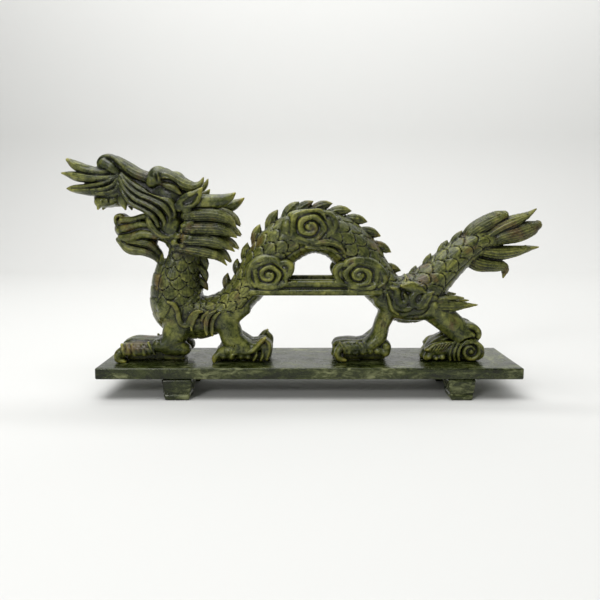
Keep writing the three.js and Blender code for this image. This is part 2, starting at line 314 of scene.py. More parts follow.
def slab_of_clay(clay, low, high, rounding=1.0, blend=0.5, cut=False):
    """A box with rounded edges."""
    where, x, y, z = clay.block([a - 3 for a in low], [b + 3 for b in high])
    beyond = [
        np.abs(a - (lo + hi) / 2) - (hi - lo) / 2 + rounding for a, lo, hi in zip((x, y, z), low, high)
    ]
    outside = np.sqrt(sum(np.maximum(b, 0) ** 2 for b in beyond))
    distance = outside + np.minimum(np.maximum(np.maximum(*beyond[:2]), beyond[2]), 0) - rounding
    if cut:
        clay.carve(where, distance, blend)
    else:
        clay.add(where, distance, blend)


def cloud_scroll(clay, x0, z0, face, turns, pitch, start, stretch, ridge=3.4):
    """A cloud scroll on the near flank: a rounded band that winds out from an eye."""
    edge = (turns + 0.5) * pitch
    where, x, y, z = clay.block(
        [x0 - edge * stretch - 3, -face - 7, z0 - edge - 3], [x0 + edge * stretch + 3, -face + 9, z0 + edge + 3]
    )
    across, up = (x - x0) / stretch, z - z0
    around = np.arctan2(up, across)
    radius = np.sqrt(across**2 + up**2)
    radius *= 1 + 0.075 * (radius / edge) ** 2 * np.cos(5 * around + start)
    turn = (start - around) / (2 * np.pi)
    winding = radius / pitch - turn
    arm = np.maximum(np.round(winding), np.ceil(0.3 - turn))
    place = winding - arm
    rim = np.exp(-(((place - 0.12) / 0.34) ** 2))
    band = smoothstep(-0.5, -0.24, place) * smoothstep(0.5, 0.32, place) * (0.5 + 0.5 * rim)
    band = np.maximum(band, np.sqrt(np.clip(1 - (radius / (0.6 * pitch)) ** 2, 0, 1)))
    dome = 1.2 * (1 - (radius / edge) ** 2)
    height = -y - (face + ridge * (band - 1) + dome)
    lobed = radius - edge - 0.5 * np.cos(7 * 2 * np.pi * turn)
    distance = np.maximum(np.maximum(height * 0.75, lobed), y + face - 6)
    clay.add(where, distance.astype(np.float32), 0.4)


# --- The dragon, in millimetres ---

TRUNK = [
    (-90, 92, 13, 0.8),
    (-95, 75, 15.5, 0.9),
    (-98.5, 57, 19, 1),
    (-95, 40, 22, 1),
    (-79, 32.5, 17, 1),
    (-61, 39, 13.2, 1),
    (-45.8, 52.9, 13.2, 1),
    (-30.8, 72, 15.9, 1),
    (-16, 89.2, 16.9, 1),
    (4.2, 98.9, 16.9, 1),
    (24.3, 95, 16.4, 1),
    (41.3, 80.9, 16.9, 1),
    (53.2, 65, 15, 1),
    (64, 53, 14.4, 1),
    (75, 47.5, 18.5, 1),
    (88, 49, 19, 1),
    (102, 63, 13.8, 0.85),
    (115, 76.5, 12, 0.7),
    (126.5, 85.5, 10.8, 0.6),
    (135, 90.5, 9.5, 0.5),
    (143, 91.5, 6.5, 0.4),
]


def scale_relief(s, v):
    """Height and grain of rounded scales that overlap like tiles, towards the tail."""
    height = np.zeros_like(s)
    grain = np.zeros_like(s)
    open_ = np.ones(s.shape, bool)
    row_here = np.floor(s / SCALE_ROW)
    for back in (-1, 0, 1):
        row = row_here + back
        shift = 0.5 * (row % 2)
        centre_s = row * SCALE_ROW
        centre_v = (np.round(v / SCALE_WIDTH - shift) + shift) * SCALE_WIDTH
        ds, dv = (s - centre_s) / (1.12 * SCALE_ROW), (v - centre_v) / (0.6 * SCALE_WIDTH)
        reach_ = np.abs(ds) ** 1.5 + np.abs(dv) ** 1.8
        take = open_ & (reach_ < 1)
        lift = (0.5 + 0.5 * (ds + 1) / 2) * smoothstep(0, 0.2, 1 - reach_) * (1 - 0.2 * dv**2)
        height[take] = lift[take]
        fan = np.arctan2(dv, ds + 1.9) * 2 * np.pi * 5.5
        grain[take] = fan[take]
        open_ &= ~take
    return height, grain


def trunk(clay):
    stations = [(x, z, thick, share * HALF_WIDTH) for x, z, thick, share in TRUNK]
    where, x, y, z = clay.block(*reach(stations, 9))
    course = Course(stations, x, z)
    distance = course.distance(y)
    angle = course.angle(y)
    skin = np.abs(distance) < 2.8
    shape = distance.shape
    s = np.broadcast_to(course.s, shape)[skin]
    thick = np.broadcast_to(course.thick, shape)[skin]
    around = angle[skin]
    girth = 17.5 - 6.5 * smoothstep(course.length - 75, course.length - 50, s)
    height, lines = scale_relief(s, around * girth)
    relief = SCALE_RELIEF * (height - 0.6) + 0.14 * np.sin(lines)
    plate = s / BELLY_PLATE - np.floor(s / BELLY_PLATE)
    belly = 0.9 * smoothstep(0.0, 0.25, plate) * (1 - 0.5 * plate) - 0.2
    on_belly = smoothstep(BELLY_ANGLE - 0.02, BELLY_ANGLE + 0.02, around)
    border = np.exp(-(((around - BELLY_ANGLE) * thick) ** 2) / 0.5)
    relief = relief * (1 - on_belly) + belly * on_belly - 1.2 * border
    distance[skin] -= relief
    grain = np.zeros(shape, np.float32)
    grain[skin] = lines * (1 - on_belly)
    clay.add(where, distance, 0, grain)


FIN_TIPS = [
    (-74.6, 69), (-74.8, 60), (-74.2, 53), (-65.4, 57.3), (-58.5, 66.8), (-50.9, 78), (-43, 90.1), (-33.3, 104.2),
    (-19.5, 115.1), (-3.3, 121.1), (7.5, 121.6), (22.1, 119.9), (36.7, 114.2), (49, 105.9), (59.4, 95),
    (67.6, 82.7), (75.5, 68.4), (87.1, 72.5), (98.2, 81.9), (110.8, 92.1), (121.6, 99.2),
]


def fins(clay):
    """Leaf-shaped fins along the ridge. Each lies back towards the tail and ends in a point."""
    back = spline(TRUNK, 1.0)
    lowest = np.argmin(back[: len(back) // 3, 1])
    for x, z in FIN_TIPS:
        on_neck = x < -65
        part = back[: int(0.65 * lowest)] if on_neck else back[lowest:]
        near = int(np.argmin((part[:, 0] - x) ** 2 + (part[:, 1] - z) ** 2))
        near = min(max(near, 3), len(part) - 4)
        along = part[near + 3, :2] - part[near - 3, :2]
        along /= np.hypot(*along)
        out = np.array([-along[1], along[0]])
        small = 0.72 if on_neck or x < -50 else 1.0
        leaf = []
        for behind, down, thick, wide in (
            (14, 9.6, 2.6, 3.4), (10, 6.0, 3.9, 3.6), (6, 3.2, 3.7, 3.0), (2.4, 1.2, 2.1, 2.0), (0, 0, 0.4, 0.8)
        ):
            at = np.array([x, z]) - small * (behind * along + down * out)
            leaf.append((at[0], at[1], small * thick, wide, 0))
        lock(clay, leaf, 1.8, 0.35, blend=0.15)


def cloud_bar(clay):
    """The bar under the arch: two rolls with a furrow between them and a gutter along the top."""
    slab_of_clay(clay, (-40, -18, 53), (58, 18, 62), 2)
    for z, half in ((60.3, 3.2), (54, 2.9)):
        lock(clay, [(-40, z, half, 4, -16), (10, z, half, 4, -16), (57, z, half, 4, -16)], blend=0.2)
    slab_of_clay(clay, (-36, -13.5, 58), (56, 13.5, 70), 1, cut=True)


def scrolls(clay):
    """Three cloud scrolls on each flank, each cupped by lobed petals."""
    petals = [
        [(-36, 58.5, 1.6), (-40.5, 64, 2.4), (-40.3, 71, 2.8), (-36, 76.5, 3), (-28.5, 79.3, 3), (-20.5, 78.3, 2.6),
         (-16, 74.5, 1.6)],
        [(-18, 75.5, 1.8), (-13.5, 76, 2.6), (-9.5, 73.6, 2.8), (-10, 69, 2.6), (-13, 64, 2), (-12, 60.5, 1.4)],
        [(-37, 60, 1.6), (-31, 58, 2.2), (-21, 58, 2.4), (-12, 60.5, 1.8), (-6, 62, 1)],
        [(30, 60.5, 1.4), (25.5, 64, 2), (23.8, 69.5, 2.6), (27, 73.8, 2.8), (32.5, 74.5, 2)],
        [(29, 74, 1.6), (33.5, 77, 2.6), (41, 78.6, 2.8), (49, 77, 3), (55.5, 73, 3), (60.3, 67, 2.8),
         (60.5, 61.5, 2), (56, 58, 1.2)],
        [(24, 62, 1.6), (31, 59.8, 2), (40, 57.3, 2.2), (49, 57.3, 2), (55, 60, 1.2)],
        [(13, 113.5, 1.4), (19.5, 111.5, 2.4), (23.3, 106, 2.6), (22.3, 99.5, 2.2), (17.5, 95, 1.4)],
        [(-12.5, 98, 1.4), (-8, 94, 2.2), (-1.5, 91.5, 2.4), (6, 90.5, 2.4), (13, 93, 2), (17.5, 97, 1.2)],
    ]
    for path in petals:
        high = path[0][1] > 85 or path[0][0] in (13,)
        face = -16.2 if high else -17.2
        lock(clay, [(x, z, thick, 3.6, face) for x, z, thick in path], blend=0.25)
    for x, z, wide, high in ((-13, 70, 5, 6.4), (-36, 69, 5, 8), (27.6, 68, 5, 6.6), (57, 66.5, 5, 7.5),
                             (19, 103.5, 5.4, 8.6), (-12, 102.5, 5, 8), (0, 111, 12, 4.4), (40, 74.5, 13, 4.2),
                             (-28, 76, 9, 3.8), (3, 94, 11, 4), (44, 60, 12, 3.6), (-27, 60, 10, 3.6)):
        ball(clay, (x, -15.6, z), (wide, 4, high), 0.5)
    lock(clay, [(6, 90, 1.6, 3, -18.5), (14, 91.3, 2.4, 3, -18.8), (21, 91, 2.6, 3, -18.8),
                (27, 88.3, 2.2, 3, -18.8), (31, 83, 0.5, 1, -18.4)], 1.6, 0.25, blend=0.25)
    lock(clay, [(2, 87.8, 1.2, 3, -17), (12, 87.6, 1.6, 3, -17.6), (20, 86.5, 1.4, 3, -17.6), (26, 83.5, 0.6, 1.6, -17.4)],
         blend=0.25)
    cloud_scroll(clay, -26, 67, 20.6, 1.85, 4.7, 2.6, 1.12)
    cloud_scroll(clay, 42, 66.5, 20.6, 1.85, 4.9, 0.8, 1.28)
    cloud_scroll(clay, 4.6, 102.4, 20.6, 2.0, 5.4, 3.6, 1.15)


def head_mass(clay):
    """The skull, muzzle and jaw under the carved details."""
    skull = [(-90, 80, 11, 12), (-92, 92, 13, 14), (-99, 106, 16, 15), (-100, 124, 17, 15), (-97, 136, 8, 13)]
    muzzle = [(-98, 126, 14, 15), (-115, 127.4, 11.5, 12), (-127.3, 130.5, 12, 10.5), (-139.6, 137.6, 12.5, 9.5),
              (-149.9, 138.7, 11, 9), (-158.1, 134.6, 8, 8)]
    palate = [(-115, 119.2, 4, 12), (-127.3, 123.3, 5, 11), (-139.6, 124.3, 7, 10), (-152.9, 123.3, 6, 9)]
    jaw = [(-102, 99, 9, 12), (-117, 101.2, 9, 11), (-129.3, 100.7, 8, 9.5), (-137.5, 100.7, 7, 8)]
    for stations in (skull, muzzle, palate, jaw):
        lock(clay, stations, blend=2.5)


def whiskers(clay):
    """Three flame locks thrust forward from the upper lip. Their strands fan out from the nostril."""
    upper = [
        [(-141.9, 143.4, 2, 4, -6), (-152, 142.7, 3, 5, -6), (-162.3, 144.4, 3.3, 5, -5.5), (-171, 147.9, 3.3, 4.6, -4),
         (-177.1, 152.1, 1.5, 2, -2.5)],
        [(-159.9, 146, 1.8, 3, -6.5), (-168.2, 148.3, 1.8, 3, -6), (-174, 150.7, 0.8, 1.5, -4)],
    ]
    middle = [
        [(-138.2, 139.9, 1.6, 4, -8), (-146.3, 138.2, 2.6, 5.5, -8), (-157.7, 138.2, 3.2, 6, -7),
         (-169.7, 139.8, 3.6, 5.6, -4.8), (-177.5, 141.6, 2, 3.4, -3), (-182.9, 142.5, 0.6, 1.2, -1)],
    ]
    lower = [
        [(-137.6, 140.2, 1.4, 4, -8.5), (-143.1, 136.4, 1.8, 5, -8.5), (-151.3, 133.8, 2, 5.6, -8),
         (-161.9, 132.3, 2, 5.4, -6.5), (-173, 132, 1.5, 3, -4), (-178.9, 131, 0.6, 1.2, -2)],
        [(-137, 138.2, 1.6, 5, -8.5), (-141.4, 132.8, 2.2, 6, -9), (-149.1, 130.1, 2.3, 6, -8.5),
         (-160.8, 129.4, 2.2, 5.6, -6.8), (-173, 129.7, 1.7, 3.4, -4), (-178.3, 130.6, 0.6, 1.2, -2)],
        [(-136.5, 136.2, 1.6, 5, -8.5), (-138.9, 130.1, 2.4, 6, -8.5), (-146.1, 127.5, 2.3, 6, -8.5),
         (-158.7, 127.3, 2, 5, -7), (-171.5, 128.1, 0.8, 1.6, -4)],
        [(-136.2, 134.2, 1.4, 5, -8), (-137, 128.1, 2, 5, -8), (-142.2, 125.7, 1.8, 5, -8), (-151.5, 125.7, 1, 3, -7.5)],
    ]
    for stations in upper + middle + lower:
        lock(clay, stations, 1.6, 0.22, blend=0.25)


def muzzle_details(clay):
    # the nostril: a ball under a fold that runs back up the snout
    ball(clay, (-148.1, -5.5, 148.5), (5.2, 5.5, 5.6), 0.8)
    lock(clay, [(-147.8, 148.9, 4.4, 4, -8), (-142.9, 146.2, 4, 4, -9), (-138.4, 142.5, 2.6, 3.4, -9)], blend=0.5)
    lock(clay, [(-152, 144.8, 0.9, 2, -7), (-152.4, 149.9, 1.5, 3, -6.5), (-148.9, 153.5, 2, 3.6, -6),
                (-142.7, 153.9, 2.2, 4, -6.5), (-136.2, 149.6, 2.3, 4, -8), (-131.9, 145.2, 1.8, 3.4, -8.8),
                (-129.9, 141.7, 1, 2.4, -9)], blend=0.2)
    lock(clay, [(-149.2, 150.8, 4.4, 5, -2), (-141.8, 151.1, 4.2, 6, -3), (-133.3, 146.6, 4.4, 7, -4),
                (-125.2, 141.5, 4.6, 8, -4), (-116, 137.9, 5, 8, -4)], 2.4, 0.25, blend=0.6)
    ball(clay, (-148.6, -12, 143.6), (2.6, 3.4, 2.0), 0.6, cut=True)
    # the ragged lower edge of the upper lip
    flap = [
        [(-153.2, 121, 4.2, 4.5, -6), (-147.5, 121.2, 4.2, 5, -6.5), (-141, 122.6, 3, 4.6, -7)],
        [(-151.6, 121, 2, 3.4, -6.5), (-153.6, 118, 1.8, 3, -6.5), (-155, 115.6, 0.8, 1.6, -6)],
        [(-135.6, 126, 2.6, 4, -8.5), (-135, 121.6, 3.8, 3.6, -8.8), (-133.4, 115.4, 0.8, 1.6, -8.6)],
    ]
    for stations in flap:
        lock(clay, stations, blend=0.25)
    for x, low in ((-149.6, 118), (-145, 119)):
        groove(clay, [(x + 0.5, 125, 0.35, 1.2, -11.5), (x, (125 + low) / 2, 0.5, 1.5, -11.6), (x, low, 0.35, 1.2, -11.4)], 0.3)
    # the lip itself: fused folds that sweep from the nostril to the cheek
    folds = [
        [(-134.7, 141.7, 1.2, 3, -9.5), (-128.1, 135.6, 1.8, 3.5, -11.5), (-118.8, 129.5, 2.2, 4, -12.7),
         (-108.5, 125.9, 2.4, 4, -14.2), (-99.2, 121.3, 2.8, 4.4, -15.6), (-94.7, 115, 2.4, 4, -16.4),
         (-95.6, 109.5, 1.2, 3, -16)],
        [(-135.4, 140.1, 1.4, 3, -10.5), (-129.9, 133, 2, 3.8, -12.3), (-121.1, 126.2, 2.3, 4.2, -13.6),
         (-111.3, 122.2, 2.5, 4.4, -15), (-102.6, 117.4, 2.7, 4.4, -16.2), (-98, 111, 2.2, 4, -16.6),
         (-98.6, 106.6, 1, 3, -16)],
        [(-135.9, 138.1, 1.4, 3, -11), (-131.6, 130, 2, 3.8, -12.6), (-124, 122.8, 2.3, 4.2, -13.8),
         (-114.7, 118.6, 2.4, 4.4, -15), (-106.6, 113.2, 2.4, 4.4, -16), (-102.7, 106.5, 1.8, 3.6, -16),
         (-103.2, 102.1, 0.8, 2.4, -15.4)],
        [(-136.4, 135.1, 1.4, 3, -10.5), (-133.2, 127.5, 2, 3.8, -12), (-127.1, 119.6, 2, 4, -13.2),
         (-118.4, 115.2, 2.1, 4, -14.2), (-110.6, 109.8, 2.2, 4, -15.2), (-107.5, 103.1, 1.6, 3, -15)],
    ]
    for stations in folds:
        lock(clay, stations, 1.9, 0.16, blend=0.12)


def cheek(clay):
    lock(clay, [(-114.8, 112.5, 1.6, 3, -12), (-114.4, 106.5, 2.6, 4, -13.6), (-110.6, 100, 2.8, 4, -14.6),
                (-105, 95.8, 2.2, 4, -15), (-99.5, 94.6, 1, 3, -15)], 1.8, 0.25, blend=0.3)
    ball(clay, (-99.5, -12.6, 103.5), (8, 5, 10), 0.8)
    ball(clay, (-97.5, -13, 95.6), (6, 4, 4), 0.8)
    groove(clay, [(-93.6, 121, 0.9, 3, -17.5), (-92.4, 113, 1.5, 3.4, -18), (-91.8, 106, 1.5, 3.4, -18),
                  (-92.6, 99, 1.1, 3, -17)])
    # the curled jowl with its row of drilled holes
    lumps = [(-86, 114.6, 4.2), (-82.6, 110.8, 3.8), (-87.6, 110.6, 2.8), (-84.6, 104.4, 4.6), (-82, 100, 3.6),
             (-88.4, 103, 2.8), (-87, 94.8, 4.2), (-83.4, 93.6, 3.8), (-93, 95.4, 3.6), (-95.2, 90.6, 3.6),
             (-89.6, 88.4, 3.8), (-89, 99.4, 2.6)]
    for x, z, size in lumps:
        ball(clay, (x, -15.6, z), (size, 4.2, size * 0.9), 0.55)
    for x, z, size in ((-85.4, 108.4, 2), (-86.6, 98.9, 2.4), (-91.6, 92.1, 2.1)):
        ball(clay, (x, -20, z), (size * 1.2, 6, size), 0.3, cut=True)


def brow(clay):
    ball(clay, (-107.5, -9, 139.5), (8, 8, 7.8), 1.2)
    ball(clay, (-111.8, -12.5, 135.8), (4.6, 4.5, 4.8), 0.6)
    lock(clay, [(-108, 141, 5, 6, -10), (-99, 139, 4.6, 6, -11), (-90, 134, 4.2, 5, -12),
                (-82, 131.5, 3.8, 4, -12), (-76.5, 134, 2.4, 3, -11.5), (-74, 138.8, 0.5, 1, -11)],
         2.2, 0.3, blend=0.5)
    # eye: a deep slit under the brow and a leaf-shaped lid below it
    groove(clay, [(-104, 136.6, 1, 3, -16.5), (-98.5, 135.8, 1.7, 3.6, -17), (-93.5, 132.8, 1.5, 3.6, -17),
                  (-90.5, 130, 0.8, 2.6, -16.5)], 0.3)
    lock(clay, [(-105, 133.6, 0.8, 2, -14.6), (-100, 132.2, 2.4, 3, -15), (-95, 130.2, 2.6, 3, -15.2),
                (-90.5, 126.4, 1, 2, -15)], 1.9, 0.2, blend=0.25)
    groove(clay, [(-117, 132, 1.4, 3, -13.5), (-112, 128.5, 1.7, 4, -15), (-104, 126, 1.7, 4, -16.5),
                  (-95, 124.5, 1.3, 3, -17.5)])
    for x in (-107.3, -104.3):
        groove(clay, [(x - 0.8, 141, 0.6, 1.4, -17), (x, 135, 0.8, 1.6, -16.5), (x + 0.5, 130, 0.6, 1.4, -15)])


def ear(clay):
    lock(clay, [(-92, 117, 3.5, 3, -16.5), (-86, 120.5, 6, 3.2, -17.5), (-79.5, 124.5, 5, 3, -18.5),
                (-74, 131, 0.6, 1, -18.5)], blend=0.4)
    groove(clay, [(-87, 119.5, 2.2, 2.6, -21), (-82.5, 121.5, 3.2, 3, -21.6), (-77.5, 126, 1.2, 2, -21.5)], 0.3)


def mane(clay):
    """Striated locks behind the cheek, their points bent down."""
    locks = [
        [(-86, 110.5, 4.4, 5), (-74, 111.2, 4.6, 5), (-63, 110.5, 4.6, 4.6), (-55, 107.3, 3.2, 3.4),
         (-50, 102.3, 0.5, 0.8)],
        [(-86, 101.3, 4.6, 5), (-73, 101.2, 4.8, 5), (-62, 100.5, 4.5, 4.6), (-54.5, 97.8, 2.8, 3.2),
         (-49.5, 94.3, 0.5, 0.8)],
        [(-88, 92.5, 4.2, 5), (-76, 92.2, 4.4, 5), (-65, 90.8, 4.3, 4.6), (-57, 88.2, 2.8, 3.2),
         (-51.5, 84.2, 0.5, 0.8)],
        [(-96, 86.5, 2.4, 4), (-85, 85.5, 3.4, 5), (-74, 83.5, 3.8, 4.6), (-64, 80.5, 3, 3.6),
         (-57.5, 73.8, 0.5, 0.8)],
    ]
    for stations in locks:
        lock(clay, [(*station, -14.5) for station in stations], 1.5, 0.42, blend=0.2)
        inner = [(x + 1.5, z + 1.5, thick * 0.95, wide, -5.5) for x, z, thick, wide in stations]
        lock(clay, inner, 1.5, 0.3, blend=0.2)


def jaw(clay):
    rolls = [
        [(-136.8, 107.4, 2.6, 4, -6), (-128.3, 107.7, 2.5, 4, -7.5), (-119.8, 110, 2.4, 4, -9),
         (-112.7, 110, 2, 3, -11)],
        [(-139, 100.1, 3.2, 4.5, -5.5), (-131.4, 101.9, 3.1, 5, -7), (-121.7, 104.3, 2.4, 4, -9.5),
         (-112.2, 103.5, 2, 4, -11)],
        [(-138.1, 94.2, 3, 5, -5), (-130.7, 94.3, 4, 6, -6), (-121.2, 97.3, 3.6, 5, -7.5),
         (-110.6, 95.9, 3, 4, -9.5)],
    ]
    for stations in rolls:
        lock(clay, stations, blend=0.25)
    # the curled tongue at the front of the jaw
    lock(clay, [(-134.6, 108.4, 1.6, 5, -3), (-138.2, 110.6, 1.9, 5, -3), (-141.6, 109.6, 1.8, 5, -3),
                (-142, 105.6, 1.8, 4.4, -3), (-140.6, 102, 1.6, 4, -3)], blend=0.4)
    ball(clay, (-138.4, -3, 105.6), (3, 5, 3), 0.6)
    # beard: striated locks that sweep back under the chin to the neck
    beard = [
        [(-140, 92.6, 3, 6, -2), (-132.9, 85.9, 4.2, 8, -2), (-122.6, 83.9, 3.6, 7, -2),
         (-113.4, 79.8, 3.2, 6, -2), (-106.8, 70.9, 2, 4, 0)],
        [(-132.4, 91.6, 3, 6, -3.5), (-124.3, 91, 3.6, 6, -4), (-115.6, 88.6, 3.4, 5.6, -4), (-109.4, 80, 2.4, 4, -1)],
    ]
    for stations in beard:
        lock(clay, stations, 1.6, 0.35, blend=0.3)


def horn_pair(clay):
    """Smooth horns; the left one is the higher."""
    lock(clay, [(-88, 120, 6, 6, -11), (-72, 120.7, 5.8, 5.5, -11.5), (-61, 121.6, 5, 4.6, -12),
                (-55, 124, 3.4, 3.2, -12), (-50.6, 127.3, 0.8, 1, -12)], blend=0.5)
    lock(clay, [(-88, 117, 6, 6, 11), (-70, 117.5, 6, 5.5, 11.5), (-58, 118, 5, 4.6, 12),
                (-51.5, 120.5, 3.2, 3.2, 12), (-46.5, 124, 0.8, 1, 12)], blend=0.5)


def shoulder_flames(clay):
    """The smooth shoulder, the curved line that parts it from the scales, and its streamers."""
    lock(clay, [(-104, 37, 7, 6.5, -12.2), (-94, 31, 8, 7, -12.2), (-80, 30, 8, 7, -12.4), (-66, 31, 8, 7, -12.2),
                (-54, 36, 7.5, 6.5, -11.5), (-45, 40, 5, 5, -11)], blend=1.5)
    ball(clay, (-103.5, -14.5, 42.5), (7.5, 5.2, 7.5), 0.8)
    groove(clay, [(-92, 43.5, 0.6, 1.6, -20), (-85, 41.6, 0.9, 2, -19.5), (-75, 40.8, 0.9, 2, -19.5),
                  (-65, 42, 0.9, 2, -19), (-55, 45.6, 0.8, 2, -17.5), (-46, 48, 0.8, 2, -17),
                  (-38, 50.6, 0.5, 1.6, -16.5)])
    groove(clay, [(-108, 33, 0.5, 1.6, -17), (-103, 27.5, 0.7, 2, -18), (-97, 24.6, 0.8, 2, -19),
                  (-90, 24, 0.7, 2, -19), (-84, 25, 0.4, 1.4, -19)])
    # streaks that follow the upper arm
    for i in range(4):
        groove(clay, [(-108 + 2.2 * i, 30 - i, 0.35, 1.4, -17.6 - 0.5 * i), (-102 + 2 * i, 38, 0.5, 1.6, -19.2),
                      (-98 + 2 * i, 46 - 1.5 * i, 0.35, 1.4, -19.4)], 0.3)


def hip_curls(clay):
    """The smooth hip under curling flames."""
    lock(clay, [(60, 47, 7, 6, -12), (70, 42, 8.5, 7, -12.2), (84, 40, 8.5, 7, -12.4), (96, 40.5, 8.5, 7, -12),
                (106, 38, 6, 6, -11)], blend=1.5)
    groove(clay, [(72, 33.6, 0.5, 1.6, -18), (82, 35.6, 0.7, 2, -19.4), (90, 37.6, 0.7, 2, -19.4),
                  (94.6, 43, 0.5, 1.6, -18.8)])


def streamers(clay):
    """Ribbons and flame curls in relief over the shoulders and hips."""
    shoulder = [
        [(-101, 47, 0.9), (-96.5, 44.6, 1.7), (-94, 39.6, 1.9), (-93.2, 34, 1.9), (-91, 30, 2), (-87.6, 29.4, 2),
         (-85.4, 33, 1.9), (-83, 37, 2), (-79.6, 39.4, 1.8), (-75.6, 39.8, 0.8)],
        [(-79, 37.4, 0.9), (-82, 33.6, 1.5), (-83.6, 29, 1.3), (-84, 25.4, 0.7)],
        [(-66, 40, 0.9), (-70, 37.4, 1.7), (-72.6, 32.4, 1.9), (-73, 27, 1.8), (-72.6, 22.6, 0.9)],
        [(-62.8, 39, 0.8), (-66.4, 35.4, 1.5), (-68.4, 30, 1.6), (-68.6, 24.6, 1.4), (-68.2, 21.6, 0.7)],
        [(-71.4, 39.6, 0.7), (-75, 36, 1.2), (-76.6, 31, 1)],
    ]
    hip = [
        [(65.5, 57.5, 0.8), (69.6, 55.4, 1.9), (70, 50.6, 2.1), (71.6, 46.4, 2.1), (75.4, 45.6, 2),
         (77.4, 49, 1.7), (75.4, 52.4, 1)],
        [(73, 58.8, 1), (79.6, 58.2, 3), (86, 56.4, 2.4), (91, 53.8, 0.7)],
        [(87.4, 54.6, 1), (83, 52.6, 2), (81, 48.6, 2), (82.4, 44.6, 2.1), (86.4, 44.2, 2),
         (89, 48, 1.8), (92, 51.8, 1.8), (97, 54.4, 0.7)],
        [(67.6, 48.6, 0.8), (68.6, 44, 1.6), (73, 41.4, 1.9), (79, 41.6, 1.7), (82.4, 43.4, 0.7)],
        [(85.6, 41.6, 0.8), (90, 43.4, 1.6), (93, 48, 1.5), (95.4, 51.6, 0.7)],
        [(62.6, 52.6, 0.7), (64.6, 47, 1.3), (66.6, 41, 1.3), (71, 37.6, 0.8)],
    ]
    for side in (-1, 1):
        for path in shoulder:
            lock(clay, [(x, z, thick, 2.2, side * 20.6) for x, z, thick in path], 1.6, 0.12, blend=0.1, flat=True)
        for path in hip:
            lock(clay, [(x, z, 1.35 * thick, 2.6, side * 18.8) for x, z, thick in path], blend=0.4)
        for x, z in ((-80, 30.4), (-77, 31), (-78.8, 26.8), (-76, 27.4)):
            ball(clay, (x, side * 21.4, z), (1.5, 2.6, 1.7), 0.2, cut=True)


def lumps_of(clay, y, spots):
    """Rounded lobes along the hem of a paw."""
    for x, z, size in spots:
        ball(clay, (x, y, z), (1.15 * size, 4.4, size), 1.6)


def folds_of(clay, y, side, first, last, count, lean, low, high, thick):
    """Slanting folds across the side of a paw."""
    for i in range(count):
        x = first + (last - first) * i / (count - 1)
        lift = (0.6 if i % 2 else 0.0) + max(0, side) * 2
        lock(clay, [(x - lean, high - lift, 0.6 * thick, 2, y - side), (x, (low + high) / 2, thick, 2.6, y),
                    (x + 0.5 * lean, low + lift, 0.8 * thick, 2.4, y - 0.3 * side)], blend=0.3)


